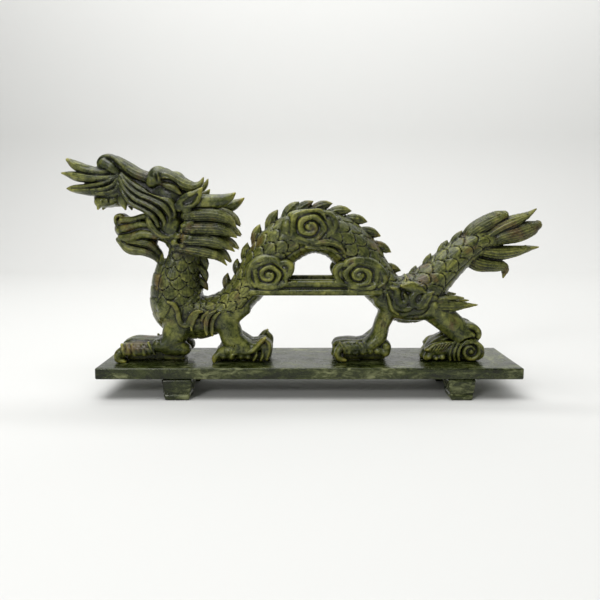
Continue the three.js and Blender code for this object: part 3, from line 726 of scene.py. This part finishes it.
def front_legs(clay):
    y = -2
    ranks = [y - 12.6 + 8.4 * i for i in range(4)]
    slab_of_clay(clay, (-136, y - 8, 0), (-92, y + 8, 7), 1.5, 0.4)
    slab_of_clay(clay, (-64, y - 8, 0), (-31, y + 8, 7), 1.5, 0.4)
    for side, out in ((-1, 0), (1, 3)):
        arm = y + side * 9
        lock(clay, [(-94 - out, 32, 12, 9, arm), (-99 - out, 20, 10, 9.4, arm), (-104, 14, 7.6, 10, arm),
                    (-112, 12, 5, 10, arm)], blend=2)
        lock(clay, [(-62 - out, 36, 10, 8.6, arm), (-56.5 - out, 24, 9, 9.2, arm), (-53.4 - out, 16, 8.6, 10, arm),
                    (-44, 11 - 0.4 * out, 6, 10, arm)], blend=2)
        lock(clay, [(-104, 11, 6.6, 9, arm), (-95.5, 10.6, 6.6, 8.4, arm), (-91, 9, 4.6, 7.6, arm)], blend=0.8)
        # the reaching paw: swollen toe, hooked claw and a row of slanting folds
        lock(clay, [(-111, 10.6, 3.2, 6, y + side * 11.4), (-119, 10.6, 3.8, 6.4, y + side * 12), (-128, 10.6, 4, 6.4, y + side * 12),
                    (-136, 10.8, 3.4, 5.6, y + side * 11)], blend=0.8)
        lock(clay, [(-136.6, 9.6, 3.4, 4, y + side * 12.6), (-141, 6, 3.2, 4, y + side * 14), (-141, 2, 2.6, 3.4, y + side * 15),
                    (-136, 0.4, 1.4, 2.4, y + side * 15.4)], blend=0.4)
        folds_of(clay, y + side * 16.4, side, -136.4, -117.4, 6, 1.4, 6.8, 13.6, 2.1)
        lumps_of(clay, y + side * 14, [(-133, 7.6, 2.4), (-127, 7.2, 2.6), (-121, 7.6, 2.6), (-115.6, 8.6, 2.4)])
        ball(clay, (-110.6, y + side * 15.6, 13.6), (3.8, 4, 4.4), 0.35)
        lock(clay, [(-117.6, 15.6, 0.8, 2, y + side * 16), (-115, 11, 1.3, 2.4, y + side * 17),
                    (-112.8, 6.6, 0.9, 2, y + side * 16.4)], blend=0.2)
        # the planted paw: a strap that curls over the toes, and a fanned heel
        lock(clay, [(-63.6, 7.4, 3.4, 5, y + side * 12), (-57, 8.8, 4.6, 6.4, y + side * 12), (-49, 9, 4.2, 6.4, y + side * 12.4),
                    (-41, 9.4, 3.8, 6, y + side * 12)], blend=0.8)
        lock(clay, [(-64.4, 6.2, 3, 4, y + side * 13.4), (-67.4, 3.6, 2.4, 3.6, y + side * 14.6), (-67.6, 0.8, 2, 3, y + side * 15)], blend=0.35)
        for i in range(5):
            groove(clay, [(-66 + 2.6 * i, 6.2 - 0.3 * i, 0.3, 1.2, y + side * 18.6), (-62.8 + 2.4 * i, 9.4, 0.45, 1.4, y + side * 19),
                          (-59.6 + 2 * i, 12.6 + 0.4 * i, 0.3, 1.2, y + side * 18.4)], 0.3)
        strap = [(-28.8, 19, 1), (-31.2, 17, 2), (-34.6, 13.2, 2.1), (-38, 9.6, 2), (-43, 7.8, 1.9), (-48, 7.8, 1.6), (-54, 6, 1)]
        lock(clay, [(x, z, thick, 3, y + side * 15.6) for x, z, thick in strap], blend=0.2)
        for path in ([(-28.4, 17, 1.4), (-26, 13.4, 1.9), (-26.4, 7.6, 1.9), (-27.8, 2, 1.5)],
                     [(-30.8, 13, 1), (-30.6, 9, 1.6), (-31, 5, 1.6), (-32.4, 1.4, 1.2)],
                     [(-35.6, 8.6, 1), (-36, 5, 1.5), (-38, 1.6, 1.2)]):
            lock(clay, [(x, z, thick, 3.4, y + side * 13.6) for x, z, thick in path], blend=0.2)
        ball(clay, (-39.8, y + side * 18.6, 13.2), (2, 3, 1.8), 0.3, cut=True)
        lumps_of(clay, y + side * 13.6, [(-60.6, 4.6, 2.6), (-54.6, 4.4, 2.8), (-47.4, 4.8, 2.6), (-42, 4.2, 2.2)])
    # backs of the paws and their rows of toes
    lock(clay, [(-112, 13.6, 2.8, 10, y), (-121, 13.6, 3.2, 10.4, y), (-131, 14, 3.3, 10, y),
                (-137, 12.6, 2.6, 8.4, y), (-140, 10.6, 1.4, 6, y)], 2.2, 0.3, blend=0.3)
    for i, rank in enumerate(ranks):
        end = 1.4 if i in (0, 3) else 0
        lock(clay, [(-134, 9.6, 3.8, 4.2, rank), (-139.6 + end, 6.6, 3.4, 4, rank), (-141.6 + end, 2.2, 2.6, 3.4, rank)], blend=0.5)
        lock(clay, [(-44, 10, 4, 4.4, rank), (-36, 11, 3.4, 4.2, rank), (-30.4, 12.6, 3.2, 4, rank),
                    (-27 - end, 9, 3, 3.8, rank), (-27.2 - end, 3, 2.4, 3.4, rank)], blend=0.5)
        lock(clay, [(-56, 10.6, 4.6, 4.4, rank), (-63, 7.2, 3.6, 4.2, rank), (-66.4 + end, 2.8, 2.6, 3.4, rank)], blend=0.5)


def hind_legs(clay):
    slab_of_clay(clay, (31, -8, 0), (64, 8, 7), 1.5, 0.4)
    for side, out in ((-1, 0), (1, 3)):
        leg = side * 8.5
        lock(clay, [(67 + out, 46, 9, 8, leg), (63.4 + out, 35, 6.8, 8, leg), (60 + out, 27, 6.2, 8.4, leg),
                    (57.4 + out, 18, 6.8, 9, leg), (50, 11.6 - 0.4 * out, 5.6, 9.4, leg)], blend=1.6)
        lock(clay, [(94, 44, 11, 8, leg), (104, 36, 10, 8.5, leg), (115, 27, 9.5, 8.8, leg), (123, 18, 9.4, 8.8, leg)], blend=2)
        # heel
        ball(clay, (63.6, side * 8.6, 9.6), (4.2, 8, 6.2), 0.5)
        lumps_of(clay, side * 12.6, [(57.4, 8, 3.4), (62.4, 6.4, 3.4), (63.6, 11.4, 3)])
        # toe with its claw, slanting folds and a scalloped hem
        lock(clay, [(51, 9.2, 3.2, 5.6, side * 10.6), (43, 10, 4.2, 6.2, side * 11), (35, 10.4, 4.4, 6.2, side * 11),
                    (29.4, 10.2, 3.8, 5.6, side * 10.6)], blend=0.8)
        lock(clay, [(29, 10.6, 3.2, 4, side * 12.4), (26.2, 6.4, 2.8, 3.6, side * 13.6), (27.4, 2.4, 2.4, 3, side * 14.4),
                    (32, 0.8, 1.4, 2.2, side * 14.6)], blend=0.35)
        folds_of(clay, side * 14.8, side, 30.6, 49.4, 7, 2.6, 7, 14.4, 1.7)
        lumps_of(clay, side * 12.6, [(35, 6.8, 2.4), (40.4, 6.4, 2.5), (45.8, 7, 2.5), (51, 7.8, 2.4)])
        for i in range(3):
            groove(clay, [(57 + 3 * i, 34, 0.3, 1.4, side * 17), (56 + 3 * i, 26, 0.5, 1.6, side * 17.4),
                          (56 + 3 * i, 19, 0.35, 1.4, side * 18)], 0.3)
    lock(clay, [(23.6, 11, 1.4, 7, 0), (26.4, 12.8, 2.4, 9, 0), (33, 13.4, 2.8, 10, 0), (42, 13, 2.8, 10, 0),
                (50, 15, 2.6, 9, 0)], 2.2, 0.3, blend=0.3)
    for rank, end in ((-11.4, 1.4), (-3.8, 0), (3.8, 1.6), (11.4, 3.6)):
        lock(clay, [(42, 9, 4, 4.2, rank), (33, 9.6, 3.8, 4.2, rank), (26.8 + end, 9, 3.4, 4, rank),
                    (24.4 + end, 4, 2.8, 3.4, rank)], blend=0.5)
        lock(clay, [(112, 9, 5, 4.2, rank), (103, 8, 4.2, 4.2, rank), (96.6 + end, 6, 3.6, 3.8, rank),
                    (93.6 + end, 2.6, 2.6, 3.4, rank)], blend=0.5)


def cloud_paw(clay):
    """The last paw: a striated leaf over the toes and a cloud scroll that stands up behind it."""
    lock(clay, [(98, 9.4, 2.4, 7, -2), (100, 11, 2.6, 9, -1), (103, 13.4, 2.8, 11, 0), (111, 17.4, 3, 11, 0)], 2, 0.25, blend=0.3)
    slab_of_clay(clay, (96, -11, 0), (136, 11, 8), 2, 0.6)
    crest = [(118.6, 22.6, 2, 8), (122, 25, 2.6, 9), (127, 26, 2.9, 9.4), (132.4, 24.6, 3, 9.4), (135.6, 20.4, 3, 9.4),
             (135, 15.8, 2.6, 9)]
    lock(clay, [(*station, 0) for station in crest], blend=0.3)
    ball(clay, (125, 0, 19), (9, 14, 6.5), 1)
    for side in (-1, 1):
        leaf = [(94 + 2 * max(0, 2 * side), 9, 1.4), (98.4 + 2 * max(0, side), 9.8, 3.3), (103.6, 10.9, 4), (109, 12.8, 3.1), (113.8, 14.6, 0.8)]
        lock(clay, [(x, z, thick, 4, side * 13) for x, z, thick in leaf], blend=0.3)
        for i in range(6):
            x = 96.4 + 2.5 * i
            groove(clay, [(x, 7.2 + 0.3 * i, 0.35, 1.6, side * 16.6), (x + 2, 10 + 0.4 * i, 0.5, 1.8, side * 17),
                          (x + 4.4, 13 + 0.4 * i, 0.35, 1.6, side * 16.6)], 0.25)
        lumps_of(clay, side * 12.4, [(97 + side, 3, 2.2), (101.6, 2.4, 2), (106.4, 3, 2.3)])
        for i in range(3):
            x = 111.8 + 3.3 * i
            lock(clay, [(x + 3.8, 14.8, 1, 2.4, side * 13), (x + 0.9, 9.8, 1.6, 3, side * 13.6),
                        (x, 5, 1.6, 3, side * 13.8), (x + 1, 1, 1.1, 2.4, side * 13.4)], blend=0.2)
        # scroll at the heel
        ring = [(119.6, 11, 1.2), (122.4, 14.2, 1.7), (127.4, 15.4, 1.9), (132.4, 13.6, 1.9), (134.6, 9, 1.9),
                (133.2, 4.2, 1.9), (129, 2, 1.8), (124.8, 3.4, 1.7), (122.8, 7.2, 1.6), (124.4, 10.8, 1.5),
                (128, 11.8, 1.4), (130.6, 9.8, 1.2)]
        lock(clay, [(x, z, thick, 3.2, side * 14) for x, z, thick in ring], blend=0.15)
        ball(clay, (128.2, side * 14, 7.6), (2.2, 3, 2.2), 0.15)
        ball(clay, (128.6, side * 10, 8.2), (7.4, 5, 7.2), 0.3)
        lock(clay, [(133.8, 14, 1.4, 4, side * 11.6), (136.4, 9.8, 2.5, 5, side * 11.6), (136.6, 4.8, 2.2, 5, side * 11.6),
                    (134, 1.6, 1.4, 4, side * 11.6)], blend=0.25)
        # folds of the cloud behind the hock
        curl = [(119, 21.6, 1.2), (121.4, 25.2, 2.2), (125.6, 27, 2.4), (130.4, 26.2, 2.6), (133.8, 22.6, 2.6),
                (133.8, 18.6, 2.2), (131, 17, 1.2)]
        lock(clay, [(x, z, thick, 4, side * 11.4) for x, z, thick in curl], blend=0.2)
        curl = [(120.6, 18.6, 1), (123.4, 21.6, 1.9), (127.4, 21.8, 2), (129.8, 19.6, 1.6), (127.6, 17.8, 0.9)]
        lock(clay, [(x, z, thick, 3.4, side * 12.4) for x, z, thick in curl], blend=0.2)
        groove(clay, [(119.4, 14.4, 0.5, 2.4, side * 16), (124, 17.6, 0.8, 3, side * 15.6), (130, 18.2, 0.8, 3, side * 15),
                      (134, 17, 0.5, 2.4, side * 14)], 0.3)


def elbow_flames(clay):
    lock(clay, [(99, 47.6, 3, 4, -11), (108, 48.6, 2.4, 4, -12), (115, 48.9, 1.9, 3, -12),
                (121.6, 48.6, 0.8, 1.4, -12)], 1.5, 0.3, blend=0.3)
    lock(clay, [(95, 43.5, 3, 4, -14), (103, 43, 4.6, 5, -13.5), (112, 42.6, 4.3, 4.6, -13),
                (122, 43.2, 2.6, 3, -12.5), (132.4, 43.4, 0.6, 1, -12)], 1.5, 0.4, blend=0.25)
    ball(clay, (98.5, -15.4, 43.4), (4, 4.4, 3.4), 0.5)


def tuft(clay):
    """Five striated locks at the end of the tail."""
    locks = [
        [(123.6, 90.7, 3.6, 5.5), (129.7, 98.2, 5.8, 7), (138.8, 104.1, 6.2, 7.5), (147.9, 108.7, 5.4, 6.6), (153, 110.6, 3.8, 5)],
        [(139.8, 94.8, 4, 7), (151, 101.9, 5.2, 7.5), (161.1, 106.5, 4.6, 7), (170.8, 110.8, 2.5, 4), (177.9, 115.8, 0.6, 1.2)],
        [(139.8, 88.7, 4, 7), (152, 94.2, 5.8, 8), (164.1, 97.2, 6.8, 7.5), (173.9, 100.8, 6, 6), (179.3, 103.5, 3.4, 4)],
        [(135.8, 83.6, 4, 7), (150, 82.2, 5.4, 7.5), (162.1, 83.4, 4.3, 6.5), (172.2, 85.4, 2.5, 4), (181, 86.7, 0.7, 1.3)],
        [(125.6, 78.6, 4.6, 6), (134.8, 73.9, 5.6, 7.5), (144.9, 72.5, 4.8, 7), (152.6, 72.1, 4.2, 5.5), (156, 69, 3, 4),
         (155, 62.9, 0.6, 1.2)],
    ]
    for stations in locks:
        lock(clay, stations, 1.6, 0.45, blend=0.15)


def gap_under_chin(clay):
    """The small three-cornered hole between the beard and the neck."""
    for x, z, r in ((-108.2, 90.2, 1.7), (-105.8, 88.2, 2.7), (-103.8, 85.4, 2.7), (-103.6, 82.4, 1.9), (-104, 80, 1.3)):
        where, px, py, pz = clay.block([x - 14, -26, z - 8], [x + 8, 26, z + 6])
        slant = py + 12
        distance = np.sqrt((px + 0.21 * slant - x) ** 2 + (pz + 0.07 * slant - z) ** 2) - r
        clay.carve(where, distance.astype(np.float32), 1.0)


def sculpt():
    low = (-187, -27, -2)
    high = (187, 27, 162)
    clay = Clay(low, high, GRID_STEP)
    trunk(clay)
    fins(clay)
    cloud_bar(clay)
    head_mass(clay)
    muzzle_details(clay)
    whiskers(clay)
    cheek(clay)
    brow(clay)
    mane(clay)
    jaw(clay)
    ear(clay)
    shoulder_flames(clay)
    hip_curls(clay)
    elbow_flames(clay)
    scrolls(clay)
    clay.mirror()
    tuft(clay)
    horn_pair(clay)
    front_legs(clay)
    hind_legs(clay)
    cloud_paw(clay)
    streamers(clay)
    gap_under_chin(clay)
    where, x, y, z = clay.block(low, (high[0], high[1], 6))
    clay.carve(where, z + 0 * x * y)
    return clay


# --- Meshes ---


def keep_largest(vertices, quads):
    """Drops the crumbs that aren't joined to the largest body."""
    label = np.arange(len(vertices))
    edges = np.concatenate([quads[:, [0, 1]], quads[:, [1, 2]], quads[:, [2, 3]], quads[:, [3, 0]]])
    while True:
        before = label.copy()
        low = np.minimum(label[edges[:, 0]], label[edges[:, 1]])
        np.minimum.at(label, edges[:, 0], low)
        np.minimum.at(label, edges[:, 1], low)
        label = label[label]
        if (label == before).all():
            break
    main = np.bincount(label).argmax()
    keep = label == main
    number = np.cumsum(keep) - 1
    return vertices[keep], number[quads[keep[quads[:, 0]]]]


def mesh_object(name, vertices, faces, attributes=None, smooth=True):
    mesh = bpy.data.meshes.new(name)
    mesh.from_pydata(vertices.tolist(), [], faces.tolist())
    mesh.polygons.foreach_set("use_smooth", np.full(len(mesh.polygons), smooth))
    for key, values in (attributes or {}).items():
        layer = mesh.attributes.new(key, "FLOAT", "POINT")
        layer.data.foreach_set("value", values.astype(np.float32))
    mesh.update()
    obj = bpy.data.objects.new(name, mesh)
    bpy.context.scene.collection.objects.link(obj)
    return obj


RUST = [(-131, 103, 9), (-62, 60, 9), (-72, 62, 7), (-40, 95, 9), (60, 92, 8), (158, 103, 13), (-125, 15, 8)]


def rust(points):
    """Share of brown at each point of the dragon: patches (x, z, radius) run right through the stone."""
    share = np.zeros(len(points))
    for x, z, radius in RUST:
        share += np.exp(-((points[:, 0] - x) ** 2 + (points[:, 2] - z) ** 2) / radius**2)
    return share


def make_dragon():
    clay = sculpt()
    vertices, quads = clay.skin()
    vertices, quads = keep_largest(vertices, quads)
    relief = clay.sample(clay.blurred(1.5), vertices)
    bulk = clay.sample(clay.blurred(4.5), vertices)
    grain = clay.sample(clay.grain, vertices)
    centre = (DRAGON_LOW + DRAGON_HIGH) / 2
    where = vertices * MM + np.array([centre.x, centre.y, DRAGON_LOW.z])
    skin = {"relief": relief, "bulk": bulk, "grain": grain, "rust": rust(vertices)}
    return mesh_object("carved_dragon", where, quads, skin)


# --- Materials ---


class Nodes:
    """A short way to write a material's node tree."""

    def __init__(self, name):
        self.material = bpy.data.materials.new(name)
        self.material.use_nodes = True
        self.tree = self.material.node_tree
        self.shader = self.tree.nodes["Principled BSDF"]

    def node(self, kind, **inputs):
        made = self.tree.nodes.new(kind)
        for key, value in inputs.items():
            self.set(made, key, value)
        return made

    def set(self, node, key, value):
        socket = node.inputs[int(key[1:])] if key[0] == "_" else node.inputs[key.replace("_", " ")]
        if isinstance(value, bpy.types.NodeSocket):
            self.tree.links.new(value, socket)
        else:
            socket.default_value = value

    def attribute(self, name):
        made = self.tree.nodes.new("ShaderNodeAttribute")
        made.attribute_name = name
        return made.outputs["Fac"]

    def noise(self, scale, detail=4.0, roughness=0.55, distortion=0.0, vector=None):
        made = self.node("ShaderNodeTexNoise", Scale=scale, Detail=detail, Roughness=roughness, Distortion=distortion)
        self.set(made, "Vector", vector or self.coordinates())
        return made.outputs["Fac"]

    def coordinates(self):
        return self.node("ShaderNodeTexCoord").outputs["Object"]

    def math(self, operation, a, b=0.0, clamp=False):
        made = self.tree.nodes.new("ShaderNodeMath")
        made.operation = operation
        made.use_clamp = clamp
        self.set(made, "_0", a)
        self.set(made, "_1", b)
        return made.outputs[0]

    def fit(self, value, low, high, to_low=0.0, to_high=1.0):
        made = self.tree.nodes.new("ShaderNodeMapRange")
        made.interpolation_type = "SMOOTHSTEP"
        for key, number in zip(("Value", "From_Min", "From_Max", "To_Min", "To_Max"), (value, low, high, to_low, to_high)):
            self.set(made, key, number)
        return made.outputs["Result"]

    def ramp(self, value, stops):
        made = self.node("ShaderNodeValToRGB", Fac=value)
        ramp = made.color_ramp
        while len(ramp.elements) < len(stops):
            ramp.elements.new(0.5)
        for element, (position, colour) in zip(ramp.elements, stops):
            element.position = position
            element.color = (*colour, 1)
        return made.outputs["Color"]

    def mix(self, share, a, b, blend="MIX"):
        made = self.tree.nodes.new("ShaderNodeMix")
        made.data_type = "RGBA"
        made.blend_type = blend
        for key, value in (("_0", share), ("_6", a), ("_7", b)):
            self.set(made, key, (*value, 1) if isinstance(value, tuple) and len(value) == 3 else value)
        return made.outputs[2]


def carved_serpentine():
    """Waxed serpentine: mottled olive green with brown patches; dark wax residue plus painted shade in the cuts,
    painted shade in deep hollows, a painted highlight on raised edges and a painted yellow-green glow of light through
    slender tips.
    """
    n = Nodes("carved_serpentine")
    broad = n.noise(34, 5, 0.6, 0.8)
    mottle = n.noise(210, 6, 0.7, 0.6)
    tone = n.math("ADD", n.math("MULTIPLY", broad, 0.45), n.math("MULTIPLY", mottle, 0.55))
    stone = n.ramp(tone, [
        (0.36, (0.006, 0.009, 0.002)),
        (0.44, (0.026, 0.034, 0.005)),
        (0.52, (0.088, 0.099, 0.018)),
        (0.59, (0.188, 0.196, 0.040)),
        (0.68, (0.345, 0.342, 0.105)),
    ])
    brown = n.math("ADD", n.noise(60, 4, 0.6, 0.3), n.math("MULTIPLY", n.attribute("rust"), 0.16))
    brown = n.fit(brown, 0.56, 0.72, 0.0, 0.75)
    stone = n.mix(brown, stone, (0.120, 0.072, 0.022))
    vein = n.fit(n.noise(48, 7, 0.7, 2.0), 0.49, 0.505)
    vein = n.math("MULTIPLY", vein, n.fit(n.noise(48, 7, 0.7, 2.0), 0.52, 0.505))
    stone = n.mix(n.math("MULTIPLY", vein, 0.5), stone, (0.010, 0.012, 0.005))
    # Painted glow: slender tips and fins are tinted pale yellow-green as if light shone through the stone.
    painted_glow_through_tips = n.math("MULTIPLY", n.fit(n.attribute("bulk"), 1.1, 2.9), n.fit(mottle, 0.36, 0.56, 0.45, 1.0))
    stone = n.mix(n.math("MULTIPLY", painted_glow_through_tips, 0.8), stone, (0.40, 0.36, 0.045))
    # Painted highlight: raised edges and crests are lightened in the colour itself.
    ridge = n.math("MULTIPLY", n.fit(n.attribute("relief"), 0.10, 0.55), n.fit(mottle, 0.40, 0.62, 0.12, 0.42))
    stone = n.mix(ridge, stone, (0.38, 0.375, 0.075))
    lines = n.fit(n.math("SINE", n.attribute("grain")), 0.1, 0.9)
    stone = n.mix(n.math("MULTIPLY", lines, 0.5), stone, (0.012, 0.013, 0.004))
    # Dark wax residue together with painted shade: the colour goes nearly black in the cuts and crevices.
    cut = n.fit(n.attribute("relief"), 0.03, -0.32)
    stone = n.mix(n.math("MULTIPLY", cut, 0.95), stone, (0.004, 0.005, 0.0015))
    # Painted shade: surfaces lying deep in large hollows, under the body and between parts, are darkened in the colour.
    deep = n.fit(n.attribute("bulk"), -0.1, -1.6)
    stone = n.mix(n.math("MULTIPLY", deep, 0.8), stone, (0.005, 0.006, 0.003))
    n.set(n.shader, "Base Color", stone)
    n.set(n.shader, "Roughness", n.fit(mottle, 0.35, 0.7, 0.24, 0.42))
    n.set(n.shader, "Specular IOR Level", 0.33)
    n.set(n.shader, "Coat Weight", 0.16)
    n.set(n.shader, "Coat Roughness", 0.1)
    tooled = n.math("SUBTRACT", n.math("MULTIPLY", n.noise(900, 4, 0.6), 0.8), n.math("MULTIPLY", lines, 0.5))
    bump = n.node("ShaderNodeBump", Strength=0.6, Distance=0.0004, Height=tooled)
    n.set(n.shader, "Normal", bump.outputs["Normal"])
    return n.material


def polished_serpentine():
    """The plinth's darker stone, clouded grey and green, with a high polish."""
    n = Nodes("polished_serpentine")
    place = n.node("ShaderNodeMapping", Vector=n.coordinates(), Scale=(1, 1.6, 2.4)).outputs["Vector"]
    broad = n.noise(24, 6, 0.62, 1.2, place)
    mottle = n.noise(130, 7, 0.72, 0.8, place)
    tone = n.math("ADD", n.math("MULTIPLY", broad, 0.5), n.math("MULTIPLY", mottle, 0.5))
    stone = n.ramp(tone, [
        (0.40, (0.002, 0.003, 0.001)),
        (0.47, (0.012, 0.017, 0.003)),
        (0.52, (0.033, 0.040, 0.011)),
        (0.56, (0.080, 0.090, 0.034)),
        (0.62, (0.210, 0.222, 0.105)),
    ])
    green = n.fit(n.noise(36, 5, 0.6, 0.8, place), 0.50, 0.66, 0, 0.5)
    stone = n.mix(green, stone, (0.045, 0.058, 0.010))
    n.set(n.shader, "Base Color", stone)
    n.set(n.shader, "Roughness", n.fit(mottle, 0.38, 0.62, 0.18, 0.38))
    n.set(n.shader, "Specular Tint", (0.70, 0.72, 0.60, 1))
    n.set(n.shader, "Coat Weight", 0.1)
    n.set(n.shader, "Coat Roughness", 0.1)
    return n.material


# --- Plinth ---


FOOT_TAPER = 2.4 * MM
ARCH_HALF = 17.5 * MM
ARCH_CROWN = 10.7 * MM
SCORE_LOW, SCORE_HIGH, SCORE_DEPTH = 4.6 * MM, 5.6 * MM, 0.6 * MM


def box_shell(counts):
    """Grid indices and quads of the six faces of a box that is divided into this many cells."""
    numbers, faces = {}, []
    for axis in range(3):
        u, v = (axis + 1) % 3, (axis + 2) % 3
        for end in (0, counts[axis]):
            for a, b in np.ndindex(counts[u], counts[v]):
                ring = []
                for da, db in ((0, 0), (1, 0), (1, 1), (0, 1)):
                    index = [0, 0, 0]
                    index[axis], index[u], index[v] = end, a + da, b + db
                    ring.append(numbers.setdefault(tuple(index), len(numbers)))
                faces.append(ring if end else ring[::-1])
    return np.array(list(numbers)), np.array(faces)


def places(low, high, edge, spacing):
    """Places along one side of a block, closer together at its rounded edges."""
    near = edge * np.array([0, 0.3, 0.65])
    inner = np.linspace(low + edge, high - edge, max(2, round((high - low) / spacing)))
    return np.concatenate([low + near, inner, (high - near)[::-1]])


def rounded(points, low, high, edge):
    """Points on the faces of a box, drawn in where they lie close to its edges."""
    core = np.clip(points, low + edge, high - edge)
    out = points - core
    on_face = np.abs(out).max(axis=1) > 0.99 * edge
    shrink = np.where(on_face, edge / np.maximum(np.linalg.norm(out, axis=1), edge), 1)
    return core + out * shrink[:, None]


def uneven(points, low, high, depth):
    """Hand-ground faces are never quite flat."""
    x, y, z = points.T
    wave = np.sin(61 * x + 140 * z) + np.sin(83 * y + 37 * x + 1.3)
    outward = (points - (low + high) / 2) / ((high - low) / 2)
    return points - outward * (0.5 + 0.25 * wave[:, None]) * depth * np.array([1, 1, 0.25])


def make_slab():
    low, high = np.array(SLAB_LOW), np.array(SLAB_HIGH)
    edge = 1.1 * MM
    axes = [places(low[i], high[i], edge, 4 * MM) for i in range(3)]
    keys, faces = box_shell([len(axis) - 1 for axis in axes])
    points = np.stack([axes[i][keys[:, i]] for i in range(3)], 1)
    points = uneven(rounded(points, low, high, edge), low, high, 0.25 * MM)
    return mesh_object("stone_slab", points, faces)


def make_foot(node):
    """A trestle foot: a tapered block with an arch through it and a line scored round it near the sole."""
    low, high = (np.array(corner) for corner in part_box(node))
    middle = (low + high) / 2
    edge = 1.6 * MM
    xs = places(low[0], high[0], edge, 3 * MM)
    leg = np.concatenate([low[1] + edge * np.array([0, 0.3, 0.65]), np.linspace(low[1] + edge, middle[1] - ARCH_HALF, 5)])
    angle = np.linspace(0, math.pi, 22)[1:-1]
    arch = middle[1] - ARCH_HALF * np.sign(np.cos(angle)) * np.sqrt(np.abs(np.cos(angle)))
    ys = np.concatenate([leg, arch, 2 * middle[1] - leg[::-1]])
    floor = np.concatenate([0 * leg, ARCH_CROWN * np.sqrt(np.sin(angle)), 0 * leg])
    tall = high[2] - low[2]
    score = (SCORE_LOW - 0.3 * MM, SCORE_LOW, SCORE_HIGH, SCORE_HIGH + 0.3 * MM)
    rows = np.concatenate([edge * np.array([0, 0.3, 0.65, 1]), score, np.linspace(0.5, 1, 5) * (tall - edge),
                           tall - edge * np.array([0.65, 0.3, 0])])
    keys, faces = box_shell([len(xs) - 1, len(ys) - 1, len(rows) - 1])
    i, j, k = keys.T
    raised = floor[j] + (tall - floor[j]) * rows[k] / tall
    points = rounded(np.stack([xs[i], ys[j], low[2] + raised], 1), low, high, edge)
    scored = (floor[j] == 0) & (rows[k] >= SCORE_LOW) & (rows[k] <= SCORE_HIGH)
    for axis, index, last in ((0, i, len(xs) - 1), (1, j, len(ys) - 1)):
        points[:, axis] += np.where(scored & (index == 0), SCORE_DEPTH, 0)
        points[:, axis] -= np.where(scored & (index == last), SCORE_DEPTH, 0)
    share = 1 - 2 * FOOT_TAPER / (high[0] - low[0]) * (high[2] - points[:, 2]) / tall
    points[:, 0] = middle[0] + (points[:, 0] - middle[0]) * share
    return mesh_object(node + "_stone", uneven(points, low, high, 0.2 * MM), faces)


# --- Scene ---


def studio():
    scene = bpy.context.scene
    world = bpy.data.worlds.new("studio")
    scene.world = world
    world.use_nodes = True
    background = world.node_tree.nodes["Background"]
    background.inputs["Color"].default_value = (0.985, 1.0, 0.965, 1)
    background.inputs["Strength"].default_value = 0.30

    # A sweep of paper: floor that curves up into the backdrop
    radius, back, height, half = 0.35, 0.9, 2.2, 3.0
    profile = [(-3.0, 0.0)]
    for i in range(17):
        a = math.pi / 2 * i / 16
        profile.append((back + radius * math.sin(a), radius * (1 - math.cos(a))))
    profile.append((back + radius, height))
    points, faces = [], []
    for y, z in profile:
        points += [(-half, y, z), (half, y, z)]
    for i in range(len(profile) - 1):
        faces.append((2 * i, 2 * i + 1, 2 * i + 3, 2 * i + 2))
    sweep = mesh_object("paper_sweep", np.array(points), np.array(faces))
    paper = Nodes("paper")
    paper.set(paper.shader, "Base Color", (0.64, 0.64, 0.629, 1))
    paper.set(paper.shader, "Roughness", 0.9)
    sweep.data.materials.append(paper.material)

    def area(name, place, aim, size, power, colour=(1, 1, 1)):
        light = bpy.data.lights.new(name, "AREA")
        light.shape = "RECTANGLE"
        light.size, light.size_y = size
        light.energy = power
        light.color = colour
        obj = bpy.data.objects.new(name, light)
        obj.location = place
        obj.rotation_euler = (Vector(aim) - Vector(place)).to_track_quat("-Z", "Y").to_euler()
        scene.collection.objects.link(obj)

    area("overhead", (-0.2, -0.2, 1.1), (0, 0.0, 0.05), (1.0, 0.7), 11.2)
    area("front", (-0.5, -1.0, 0.6), (0, 0, 0.08), (0.28, 0.2), 3.6)
    area("backdrop", (0.25, 0.6, 1.5), (0.3, 1.25, 0.55), (2.6, 0.4), 23)

    lens = bpy.data.cameras.new("camera")
    lens.sensor_width = 36
    lens.lens = 36.17
    lens.clip_end = 20
    camera = bpy.data.objects.new("camera", lens)
    # The photographer stood 0.47 m off and a little above the dragon's back.
    camera.location = (-0.0026, -0.4657, 0.1377)
    camera.rotation_euler = (math.radians(90 - 8.243), 0, 0)
    scene.collection.objects.link(camera)
    scene.camera = camera
    scene.view_settings.view_transform = "Standard"


def main():
    carved, polished = carved_serpentine(), polished_serpentine()
    dragon = make_dragon()
    dragon.data.materials.append(carved)
    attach(dragon, "root")
    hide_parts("dragon")
    plinth = [(make_slab(), "plinth_slab")]
    plinth += [(make_foot(node), node) for node in ("plinth_foot_left", "plinth_foot_right")]
    for obj, node in plinth:
        obj.data.materials.append(polished)
        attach(obj, "root")
        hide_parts(node)
    studio()
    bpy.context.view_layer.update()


main()
